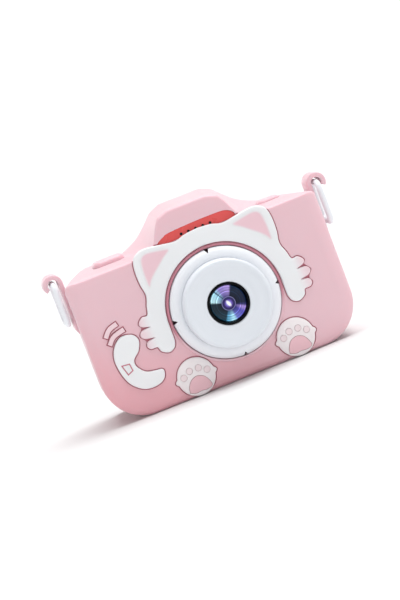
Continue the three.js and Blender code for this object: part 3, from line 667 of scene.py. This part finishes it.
def ear_outline(side):
    return [(LENS_X + side * x * MM, z * MM) for x, z in curved([
        (11.6, 50), (15.5, 50.8), (19.3, 51.2), (21.3, 50.1), (22, 47.4), (22.2, 43.9), (21.9, 40.4),
        (20.5, 42.2), (18.8, 43.9), (16.7, 45.6), (14, 47.8), (11.9, 49.2), (11.6, 50),
    ], 72)[1:]]


kitten = coated(raised("kitten_relief", cat_outline, SEAT_Y, RELIEF_Y, 0.5 * MM), relief_white)
ear_pink = airbrushed("ear_pink", (0.84, 0.85, 0.868), (0.82, 0.56, 0.62), 0.55)
for name, side in (("left_ear_patch", -1), ("right_ear_patch", 1)):
    outline = grown(ear_outline(side), 0.3 * MM)
    recess = grown(outline, 0.02 * MM)
    carve(kitten, plate(recess, RELIEF_Y - 1 * MM, RELIEF_Y + 0.4 * MM, relief_white))
    patch = painted_patch(name + "_inlay", outline, RELIEF_Y - 0.01 * MM, RELIEF_Y + 0.35 * MM,
                          0.9 * MM, ear_pink)
    fit_on(patch, "camera", "relief_pale_pink", name)
smooth_faces(kitten, 40)
fit_on(kitten, "camera", "relief_white", "cat_relief")


# ---- Tail and motion marks --------------------------------------------------------------------------
# The kitten's tail curls up beside it, with one small pale patch ringed by a dark pink line of painted
# shade, and two pale pink strokes show it swishing. All are soft silicone pieces seated in the sleeve.
tail_outline = millimetres(curved([
    (-31, 28.3), (-29.1, 27.4), (-28.1, 25.2), (-29.4, 22), (-31.7, 19.9), (-32.1, 18.1),
    (-31.3, 16.3), (-29.4, 14.5), (-26.5, 13.8), (-24.4, 13.5), (-23.8, 12.5), (-24.6, 10.4),
    (-26.7, 9.1), (-29.9, 8.8), (-33, 9.8), (-35.8, 12.4), (-37.4, 16), (-38.1, 20.3), (-37.8, 23.2),
    (-36.7, 25.7), (-34.8, 27.7), (-32.9, 28.5), (-31, 28.3),
], 126)[1:])
tail_patch_outline = millimetres([(-36.5, 19.3), (-35.5, 15.8), (-33.6, 16.6), (-33.9, 19)])
tail_white = white_silicone("tail_white", False)
# Seam colour: painted shade for the walls and floors of the grooves and seats round the reliefs.
seam_painted_shade = finish("seam_painted_shade", (0.5, 0.16, 0.21), (0.56, 0.2, 0.25), 0.6)
pale_pink = finish("pale_pink_silicone", (0.84, 0.62, 0.665), (0.86, 0.66, 0.7), 0.55, depth=0.00001)


def stroke(points, width, steps=7):
    line = curved(points, steps)
    left, right = [], []
    for k, (x, z) in enumerate(line):
        (ax, az), (bx, bz) = line[max(k - 1, 0)], line[min(k + 1, steps)]
        reach = width / 2 / hypot(bx - ax, bz - az)
        left.append((x - (bz - az) * reach, z + (bx - ax) * reach))
        right.append((x + (bz - az) * reach, z - (bx - ax) * reach))
    return millimetres(left + right[::-1])


MARK_WIDTH = 1.5
outer_mark_outline = stroke([(-38.1, 29.8), (-36.1, 32), (-33, 33)], MARK_WIDTH)
inner_mark_outline = stroke([(-37.7, 27.1), (-35.4, 29.4), (-31.4, 30.4)], MARK_WIDTH)
tail = coated(raised("tail_relief_piece", tail_outline, SEAT_Y, RELIEF_Y, 0.5 * MM), tail_white)
smooth_faces(tail, 40)
fit_on(tail, "camera", "relief_white", "tail_relief")
LINE_HALF = 0.2 * MM
patch = plate(grown(tail_patch_outline, -LINE_HALF), RELIEF_Y - 0.08 * MM, RELIEF_Y, tail_white,
              "tail_patch_inlay")
# A thin dark pink line of painted shade rings the patch where its seam would be.
patch_shade_line = plate(grown(tail_patch_outline, LINE_HALF), RELIEF_Y - 0.05 * MM, RELIEF_Y, seam_painted_shade)
carve(patch, patch_shade_line, operation="UNION")
fit_on(patch, "camera", "relief_pale_pink", "tail_patch")
marks = {"outer_motion_mark": outer_mark_outline, "inner_motion_mark": inner_mark_outline}
for name, outline in marks.items():
    mark = coated(raised(name + "_piece", outline, SEAT_Y, RELIEF_Y, 0.35 * MM), pale_pink)
    smooth_faces(mark, 40)
    fit_on(mark, "camera", "relief_pale_pink", name)


# ---- Feet -------------------------------------------------------------------------------------------
# Two round soles, domed and off-white with a pink blush, each with a tiny nub on both sides. A pink
# heel pad and four small toe pads are let in, and thin darker lines of painted shade run round them.
FOOT_R = 6.5
FOOT_Z = 6.8
FEET = {"left": -14.5, "right": 21.5}


def foot_outline(x, scale=1.0, nub=1.0):
    points = []
    for k in range(72):
        turn = 2 * pi * k / 72
        tip = 0.8 * nub * max(0, 1 - (sin(turn) / 0.16) ** 2)
        points.append((x + (FOOT_R * scale + tip) * cos(turn), FOOT_Z + FOOT_R * scale * sin(turn)))
    return millimetres(points)


def sole(name, x, lift=0):
    rings = [[on_front(a, b, SEAT_Y) for a, b in foot_outline(x)]]
    for turn in (0, 4, 8, 13, 19, 27, 38, 50, 62, 74, 84):
        scale = cos(radians(turn))
        depth = FRONT_Y - lift - (0.25 + 1.0 * sin(radians(turn)) ** 0.75) * MM
        rings.append([on_front(a, b, depth) for a, b in foot_outline(x, scale, max(0, 1 - turn / 13))])
    return skin(name, rings)


def pad_outline(x):
    return millimetres(curved([(x - 3.9, 2.4), (x - 3.5, 4.3), (x - 2.2, 6.2), (x, 7), (x + 2.2, 6.2),
                               (x + 3.5, 4.3), (x + 3.9, 2.4), (x + 2, 1.7), (x, 1.9), (x - 2, 1.7),
                               (x - 3.9, 2.4)], 60)[1:])


foot_white = finish("foot_white", (0.87, 0.8, 0.81), (0.885, 0.84, 0.85), 0.55, depth=0.00001)
heel_pink = finish("heel_pink", (0.82, 0.5, 0.55), (0.84, 0.54, 0.59), 0.55, depth=0.00001)
toe_pink = finish("toe_pink", (0.84, 0.69, 0.715), (0.86, 0.74, 0.76), 0.55, depth=0.00001)
# Painted shade for the fine grooves round the toes.
toe_seam_painted_shade = finish("toe_seam_painted_shade", (0.62, 0.36, 0.4), (0.68, 0.42, 0.46), 0.6)
TOES = ((-4.2, 7.9), (-1.7, 9.4), (1.5, 9.4), (4.1, 7.9))
TOE_R = 1.05
CUT_FRONT_Y, RECESS_Y, PAD_REAR_Y = -17 * MM, -14.3 * MM, -14.35 * MM
for name, x in FEET.items():
    foot = coated(sole(name + "_foot_sole", x), foot_white)
    outline = pad_outline(x)
    # The grooves round the heel pad and toes are coloured with painted seam shade.
    carve(foot, plate(grown(outline, 0.13 * MM), CUT_FRONT_Y, RECESS_Y, seam_painted_shade))
    pad = coated(sole(name + "_heel_pad", x, 0.1 * MM), heel_pink)
    carve(pad, plate(outline, CUT_FRONT_Y, PAD_REAR_Y, heel_pink), operation="INTERSECT")
    smooth_faces(pad, 30)
    fit_on(pad, "camera", "relief_pale_pink", name + "_foot_pad")
    for number, (toe_x, toe_z) in enumerate(TOES, 1):
        round_toe = millimetres(arc(x + toe_x, toe_z, TOE_R, 0, 352.5, 47))
        carve(foot, plate(grown(round_toe, 0.1 * MM), CUT_FRONT_Y, RECESS_Y, toe_seam_painted_shade))
        toe = coated(sole(f"{name}_toe_{number}", x, 0.08 * MM), toe_pink)
        carve(toe, plate(round_toe, CUT_FRONT_Y, PAD_REAR_Y, toe_pink), operation="INTERSECT")
        smooth_faces(toe, 30)
        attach(toe, "camera")
    smooth_faces(foot, 30)
    fit_on(foot, "camera", "relief_white", name + "_foot")


# ---- Silicone sleeve --------------------------------------------------------------------------------
# One soft moulding that is pulled over the camera. It has square shoulders in front that round off to
# the rear, a hump over the lens, a lip round the lens with painted shade on its upper arch, a strap lug
# on each side and shallow seats for the reliefs, whose seams are painted darker as shade.
HALF_WIDTH = 45 * MM
TOP_Z = 50.5 * MM
TOP_CLIMB = 1.2 * MM
HUMP_Z = 62.2 * MM
HUMP_CLIMB = 0.7 * MM
REAR_Y = 22.5 * MM
WALL = 2 * MM
GAP = 0.3 * MM
LIP_R = 19.9 * MM
EYE_X = 47.6 * MM
EYE_Z = 52 * MM
EYE_R = 1.75 * MM
EYE_OUTER_R = 3.4 * MM
HUMP_X = (LENS_X - 0.6 * MM, LENS_X + 1.8 * MM)
HUMP_FRONT = ((17.5, 0), (15.9, 0.1), (14.4, 0.3), (12.6, 0.62), (11.6, 0.76), (10.3, 0.89), (6.5, 1))
HUMP_REAR = ((26, 0), (22.5, 0.12), (18.6, 0.3), (14.3, 0.62), (12.7, 0.76), (11.1, 0.87), (7.5, 1))


def on_top(across, painted_shade_colour, height):
    return Vector((across, painted_shade_colour, height))


def between(low, high, share):
    return low + (high - low) * share


def drawn_in(distance, radius):
    return 0 if distance >= radius else radius - sqrt(radius ** 2 - (radius - distance) ** 2)


def section(y, inset, front, rear, fine):
    back = (y - FRONT_Y) / (REAR_Y - FRONT_Y)
    ahead, behind = y - front, rear - y
    tail = drawn_in(behind, 3 * MM - inset / 2)
    side = inset + drawn_in(2 * ahead, 5 * MM - inset / 2) + tail
    top = inset + drawn_in(ahead, 0.8 * MM) + tail
    base = inset + drawn_in(ahead, 3 * MM - inset / 2) + tail
    half = HALF_WIDTH - 1.5 * MM * back * back - side
    high = TOP_Z + TOP_CLIMB * back - top
    crown = HUMP_Z + HUMP_CLIMB * back - inset - drawn_in(ahead, 1.2 * MM) - tail
    upper = max((1.2 + 10.8 * back) * MM - inset, 0.8 * MM)
    lower = 14.5 * MM - inset
    middle = between(*HUMP_X, back)
    flank = [(between(a, b, back) * MM - 0.7 * inset, between(high, crown, between(low, tall, back)))
             for (a, low), (b, tall) in zip(HUMP_FRONT, HUMP_REAR)]
    flank = curved(flank, 3 * fine)
    ring = arc(half - lower, base + lower, lower, -90, 0, fine)
    ring += arc(half - upper, high - upper, upper, 0, 90, fine)
    ring += [(min(middle + away, half - upper - 0.1 * MM), z) for away, z in flank]
    ring += [(max(middle - away, upper - half + 0.1 * MM), z) for away, z in reversed(flank)]
    ring += arc(upper - half, high - upper, upper, 90, 180, fine)
    ring += arc(lower - half, base + lower, lower, 180, 270, fine)
    return [Vector((x, y, z)) for x, z in ring]


def body_form(name, inset, front, rear, fine=12):
    steps = [0, 0.03, 0.12, 0.27, 0.5, 0.8, 1.2, 1.8, 2.6, 3.6, 5]
    depths = [front + d * MM for d in steps] + [between(front, rear - 3 * MM, k / 8) for k in range(2, 9)]
    depths += [rear - 3 * MM * (1 - sin(radians(a))) for a in (20, 40, 60, 75, 90)]
    return skin(name, [section(y, inset, front, rear, fine) for y in depths])


def lug(side):
    strip_out = EYE_X - EYE_R
    outline = [(HALF_WIDTH - 1.6 * MM, 33.5 * MM), (HALF_WIDTH + 0.2 * MM, 33.5 * MM),
               (strip_out, 35.5 * MM)]
    outline += arc(EYE_X, EYE_Z, EYE_R, 180, -36, 20)
    outline += arc(EYE_X, EYE_Z, EYE_OUTER_R, -36, 180, 24)
    outline += [(EYE_X - EYE_OUTER_R, 47.5 * MM), (HALF_WIDTH - 1.6 * MM, 46 * MM)]
    piece = prism("lug", [(side * x, z) for x, z in outline], -7 * MM, 3 * MM)
    press(piece, "BEVEL", width=0.45 * MM, segments=3, limit_method="ANGLE", angle_limit=radians(50))
    return piece


def rounded_outline(left, right, low, high, radius, steps=8):
    return (arc(right - radius, low + radius, radius, -90, 0, steps)
            + arc(right - radius, high - radius, radius, 0, 90, steps)
            + arc(left + radius, high - radius, radius, 90, 180, steps)
            + arc(left + radius, low + radius, radius, 180, 270, steps))


def key_outline(key, grow=0.0):
    x, y, half_x, half_y, corner = (value * MM for value in key)
    half_x, half_y = half_x + grow, half_y + grow
    return rounded_outline(x - half_x, x + half_x, y - half_y, y + half_y, corner + grow)


TOP_PADS = {"shutter": (-26.5, 8.5, 5.5, 5.5, 3), "power": (32, 8, 4, 4, 2.5)}
WINDOW = [(LENS_X + x * MM, z * MM) for x, z in curved([
    (-15.4, 51.6), (-13.8, 53.1), (-11.8, 54.1), (-9.6, 54.8), (0, 55.3), (8.5, 55.3), (11.2, 54.9),
    (12.9, 53.9), (13.6, 52.7), (13.7, 51.6)], 45)]
# Painted shade: the pink turns darker and deeper towards the lower left corner, along a line that leans
# by the constant below.
PAINTED_SHADE_LEAN = 0.38
PAINTED_SHADE_SPAN = (25 * MM, -9 * MM)


def silicone(name, low, high):
    material, nodes, links, surface = shader(name, low, 0.5)
    across, up = across_and_up(nodes, links, 0, 0)
    slope = maths(nodes, links, "MULTIPLY_ADD", across, PAINTED_SHADE_LEAN, up)
    # Painted shade: a darker, deeper copy of the pinks is blended in towards the lower left.
    shaded_pinks = [(red, green * 0.78, blue * 0.79) for red, green, blue in (low, high)]
    cloud = noise(nodes, links, 22, 2)
    mottled(nodes, links, surface, ranged(nodes, links, slope, *PAINTED_SHADE_SPAN, smooth=True),
            blended(nodes, links, cloud, low, high), blended(nodes, links, cloud, *shaded_pinks))
    varied(nodes, links, surface, noise(nodes, links, 160), 0.44, 0.56)
    grained(nodes, links, surface, noise(nodes, links, 2400, 2), 0.00002, 0.22)
    surface.inputs["Subsurface Weight"].default_value = 0.16
    surface.inputs["Subsurface Radius"].default_value = (0.004, 0.0016, 0.0018)
    surface.inputs["Subsurface Scale"].default_value = 1
    surface.inputs["Sheen Weight"].default_value = 0.4
    surface.inputs["Sheen Roughness"].default_value = 0.35
    return material


pink_silicone = silicone("pink_silicone", (0.79, 0.515, 0.57), (0.815, 0.545, 0.6))
# The lip carries painted shade: deep dark pink on its upper arch, between the kitten and the flange,
# fading to the sleeve's pink below.
lip_painted_shade = silicone("lip_painted_shade", (0.56, 0.2, 0.26), (0.62, 0.25, 0.31))
nodes, links = lip_painted_shade.node_tree.nodes, lip_painted_shade.node_tree.links
surface = nodes["Principled BSDF"]
_, up = across_and_up(nodes, links, LENS_X, LENS_Z)
shaded_arch = ranged(nodes, links, up, -9 * MM, -2 * MM, smooth=True)
painted_shade_colour = surface.inputs["Base Color"].links[0].from_socket
links.new(blended(nodes, links, shaded_arch, (0.78, 0.5, 0.555), painted_shade_colour), surface.inputs["Base Color"])

sleeve = coated(body_form("silicone_sleeve", 0, FRONT_Y, REAR_Y), pink_silicone)
lip = coated(turned("lip", [
    (FLANGE_R, FRONT_Y + 0.6 * MM), (FLANGE_R, FRONT_Y - 0.35 * MM),
    (FLANGE_R + 0.45 * MM, FRONT_Y - 0.55 * MM), (LIP_R - 0.2 * MM, FRONT_Y - 0.5 * MM),
    (LIP_R, FRONT_Y - 0.3 * MM), (LIP_R, FRONT_Y + 0.6 * MM),
], LENS_X, LENS_Z, 128, closed=True), lip_painted_shade)
carve(sleeve, lip, coated(lug(1), pink_silicone), coated(lug(-1), pink_silicone), operation="UNION")

port_outline = rounded_outline(4.6 * MM, 11.2 * MM, 10 * MM, 33 * MM, 2.4 * MM)
port_rings = [[Vector((x, y, z)) for y, z in grown(port_outline, grow)]
              for x, grow in ((40 * MM, 0), (44 * MM, 0), (44.7 * MM, 0.25 * MM), (46.5 * MM, 2.1 * MM))]
rear_outline = rounded_outline(-38.6 * MM, 38.6 * MM, 4.8 * MM, 45.4 * MM, 8 * MM, 10)
rear_rings = [[on_front(x, z, y) for x, z in grown(rear_outline, grow)]
              for y, grow in ((REAR_Y - 5 * MM, 0), (REAR_Y - 0.6 * MM, 0), (REAR_Y + 1 * MM, 1.6 * MM))]
cuts = [
    body_form("cavity", WALL, FRONT_Y + WALL, REAR_Y - WALL, 8),
    turned("lens_hole", [(FLANGE_R + GAP, FRONT_Y - 2 * MM), (FLANGE_R + GAP, FRONT_Y + 5 * MM)],
           LENS_X, LENS_Z, 128),
    skin("rear_window", rear_rings),
    prism("hump_window", WINDOW, FRONT_Y - 2 * MM, FRONT_Y + WALL + 0.5 * MM),
    skin("port", port_rings),
]
for key in TOP_PADS.values():
    hole_outline = key_outline(key, 0.15 * MM)
    cuts.append(skin("pad_hole", [[on_top(a, b, height) for a, b in hole_outline]
                                  for height in (44 * MM, 56 * MM)]))
carve(sleeve, *[coated(cut, pink_silicone) for cut in cuts])
SEAT_GAP, SEAT_DEPTH = 0.38 * MM, 0.35 * MM
seats = [cat_seat, tail_outline, outer_mark_outline, inner_mark_outline]
seats += [foot_outline(x) for x in FEET.values()]
# The seats' walls and floors take the seam colour: painted shade in the gaps round the reliefs.
carve(sleeve, *[plate(grown(outline, SEAT_GAP), FRONT_Y - 2 * MM, FRONT_Y + SEAT_DEPTH, seam_painted_shade)
                for outline in seats])
tidy_mesh(sleeve)
smooth_faces(sleeve, 32)
fit_on(sleeve, "camera", "sleeve_pink", "silicone_case")


# ---- Sound grille -----------------------------------------------------------------------------------
# A glossy red moulding that fills the window in the hump above the kitten's head, with a row of five
# sound holes for the speaker behind it.
red_plastic = finish("red_plastic", (0.74, 0.07, 0.065), (0.8, 0.085, 0.08), 0.28,
                     scale=90, depth=0.00001)
GRILLE_Y = FRONT_Y + 0.75 * MM
HOLE_R, HOLE_PITCH, HOLE_Z = 0.5 * MM, 2.6 * MM, 52.9 * MM
grille = plate(grown(WINDOW, -0.1 * MM), GRILLE_Y, -10.4 * MM, red_plastic, "sound_grille")
press(grille, "BEVEL", width=0.3 * MM, segments=3, limit_method="ANGLE", angle_limit=radians(50))
for k in range(-2, 3):
    hole = turned("sound_hole", [(HOLE_R, GRILLE_Y - 1 * MM), (HOLE_R, GRILLE_Y + 1.5 * MM)],
                  LENS_X + k * HOLE_PITCH - 0.4 * MM, HOLE_Z, 24)
    carve(grille, coated(hole, black_plastic))
smooth_faces(grille, 40)
press(grille, "WEIGHTED_NORMAL", keep_sharp=True)
fit_on(grille, "camera", "plastic_red", "grille_panel")


# ---- Shutter and power pads -------------------------------------------------------------------------
# Two low cushions of the same silicone stand in openings of the sleeve, the larger for the shutter and
# the smaller for power. Each presses the hard plunger under it.
PAD_TOPS = {"shutter": 52.9 * MM, "power": 52.2 * MM}
for name, key in TOP_PADS.items():
    pad = raised(name + "_cushion", key_outline(key), 50 * MM, PAD_TOPS[name], 1.3 * MM, on_top)
    coated(pad, pink_silicone)
    smooth_faces(pad, 50)
    fit_on(pad, name, "sleeve_pink", name + "_pad")


# ---- Strap rings ------------------------------------------------------------------------------------
# A moulded white link hangs in each strap lug: a round bar bent into a long loop with round corners,
# free to swing about the eye.
BAR_R = 1.05 * MM


def along(loop, share):
    runs = [hypot(b[0] - a[0], b[1] - a[1]) for a, b in zip(loop, loop[1:] + loop[:1])]
    left = share * sum(runs)
    for k, run in enumerate(runs):
        if left <= run:
            a, b = loop[k], loop[(k + 1) % len(loop)]
            return between(a[0], b[0], left / run), between(a[1], b[1], left / run)
        left -= run
    return loop[0]


link_path = rounded_outline(-8.55 * MM, 4.55 * MM, 38 * MM, 52 * MM, 2.4 * MM, 10)
for name, side in (("left", -1), ("right", 1)):
    select_only()
    bpy.ops.mesh.primitive_torus_add(major_segments=120, minor_segments=20,
                                     major_radius=1, minor_radius=0.25)
    link = settle(bpy.context.object, name + "_strap_link")
    for vertex in link.data.vertices:
        x, y, z = vertex.co
        share = (atan2(y, x) / (2 * pi)) % 1
        (py, pz), (ny, nz), (my, mz) = (along(link_path, (share + d) % 1) for d in (0, 0.002, 0.998))
        out_y, out_z = nz - mz, -(ny - my)
        size = hypot(out_y, out_z)
        reach = (hypot(x, y) - 1) * 4 * BAR_R
        vertex.co = (side * (EYE_X + z * 4 * BAR_R), py + out_y / size * reach, pz + out_z / size * reach)
    tidy_mesh(link)
    coated(link, white_plastic)
    smooth_faces(link, 60)
    fit_on(link, name + "_ring", "plastic_white", name + "_strap_ring")


# ---- Rear screen ------------------------------------------------------------------------------------
# A glossy black window with a printed border lies in the back, and the display shows through its
# middle as a slightly lighter, bluish rectangle.
pane_outline = rounded_outline(-11.7 * MM, 31.7 * MM, 9.3 * MM, 42.7 * MM, 1.7 * MM)
display_outline = rounded_outline(-8.6 * MM, 28.6 * MM, 12 * MM, 39.9 * MM, 0.5 * MM)
DISPLAY_Y = 19.9 * MM
window = coated(raised("screen_window_pane", pane_outline, 18.9 * MM, 20.2 * MM, 0.25 * MM), gloss_black)
carve(window, plate(grown(display_outline, 0.02 * MM), DISPLAY_Y, 22 * MM, gloss_black))
smooth_faces(window, 40)
fit_on(window, "camera", "screen_black", "screen_window")
display_glass = finish("display_glass", (0.012, 0.018, 0.03), (0.02, 0.028, 0.045), 0.1,
                       scale=20, depth=0.000002)
display = plate(display_outline, DISPLAY_Y, 20.17 * MM, display_glass, "display_area")
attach(display, "camera")


# ---- Rear keys --------------------------------------------------------------------------------------
# Seven round white keys work through the back: four directions round a larger middle key, and two
# above. Each cap is slightly dished, with a plain moulded sign filled in grey.
sign_grey = finish("sign_grey", (0.2, 0.2, 0.21), (0.28, 0.28, 0.29), 0.5)
SIGN_Y, BEYOND_KEY_Y = 21.25, 22.4
KEY_X, KEY_Z = -24.5, 20
key_signs = {
    "ok": (0, 0, 3.6, []),
    "up": (0, 7.7, 2.5, [[(-1, -0.5), (1, -0.5), (0, 0.9)]]),
    "down": (0, -7.7, 2.5, [[(-1, 0.5), (0, -0.9), (1, 0.5)]]),
    "left": (7.7, 0, 2.5, [[(-0.5, -1), (0.9, 0), (-0.5, 1)]]),
    "right": (-7.7, 0, 2.5, [[(0.5, -1), (0.5, 1), (-0.9, 0)]]),
    "menu": (-5, 18, 2.5, [[(-1, bar - 0.15), (1, bar - 0.15), (1, bar + 0.15), (-1, bar + 0.15)]
                           for bar in (-0.7, 0, 0.7)]),
    "play": (5, 18, 2.5, [[(0.7, -1), (0.7, 1), (-0.9, 0)]]),
}
for name, (dx, dz, r, signs) in key_signs.items():
    x, z = KEY_X + dx, KEY_Z + dz
    cap = coated(turned(name + "_key_cap", millimetres([
        (r + 0.6, 16.9), (r + 0.6, 17.9), (r, 17.9), (r, 20.9), (r - 0.12, 21.25), (r - 0.35, 21.5),
        (r - 0.7, 21.58), (r - 1.1, 21.5), (r * 0.45, 21.42), (0.2, 21.4),
    ]), x * MM, z * MM, 64), white_plastic)
    if name == "ok":
        circle = turned("sign", millimetres([
            (1.5, SIGN_Y), (1.5, BEYOND_KEY_Y), (1.85, BEYOND_KEY_Y), (1.85, SIGN_Y),
        ]), x * MM, z * MM, 48, closed=True)
        carve(cap, coated(circle, sign_grey))
    for sign in signs:
        outline = millimetres([(x + a, z + b) for a, b in sign])
        carve(cap, plate(outline, SIGN_Y * MM, BEYOND_KEY_Y * MM, sign_grey))
    smooth_faces(cap, 40)
    fit_on(cap, name, "plastic_white", name + "_key")


# ---- Memory card ------------------------------------------------------------------------------------
# A thin black card that slides into the socket behind the port in the sleeve's side. It has a thumb
# ridge at its outer end and a row of gold contacts at its inner end.
gold = finish("contact_gold", (0.7, 0.48, 0.16), (0.8, 0.58, 0.24), 0.25, 1.0, 400)
card = plate(millimetres([
    (26.8, 20.4), (41.7, 20.4), (41.7, 31.4), (34.4, 31.4), (33.8, 30.8), (32.2, 30.8), (31.4, 30),
    (27.4, 30), (26.8, 29.4),
]), 7.15 * MM, 7.85 * MM, black_plastic, "memory_card_body")
press(card, "BEVEL", width=0.08 * MM, segments=2, limit_method="ANGLE", angle_limit=radians(30))
thumb_ridge = block(40.3 * MM, 41.4 * MM, 7.0 * MM, 7.3 * MM, 21.4 * MM, 30.4 * MM)
carve(card, coated(thumb_ridge, black_plastic), operation="UNION")
CONTACT_PITCH, CONTACT_WIDTH = 1.1 * MM, 0.75 * MM
for k in range(8):
    low = 20.95 * MM + k * CONTACT_PITCH
    contact = block(27.3 * MM, 30 * MM, 7.12 * MM, 7.3 * MM, low, low + CONTACT_WIDTH)
    carve(card, coated(contact, gold), operation="UNION")
smooth_faces(card, 30)
fit_on(card, "card", "plastic_black", "memory_card")
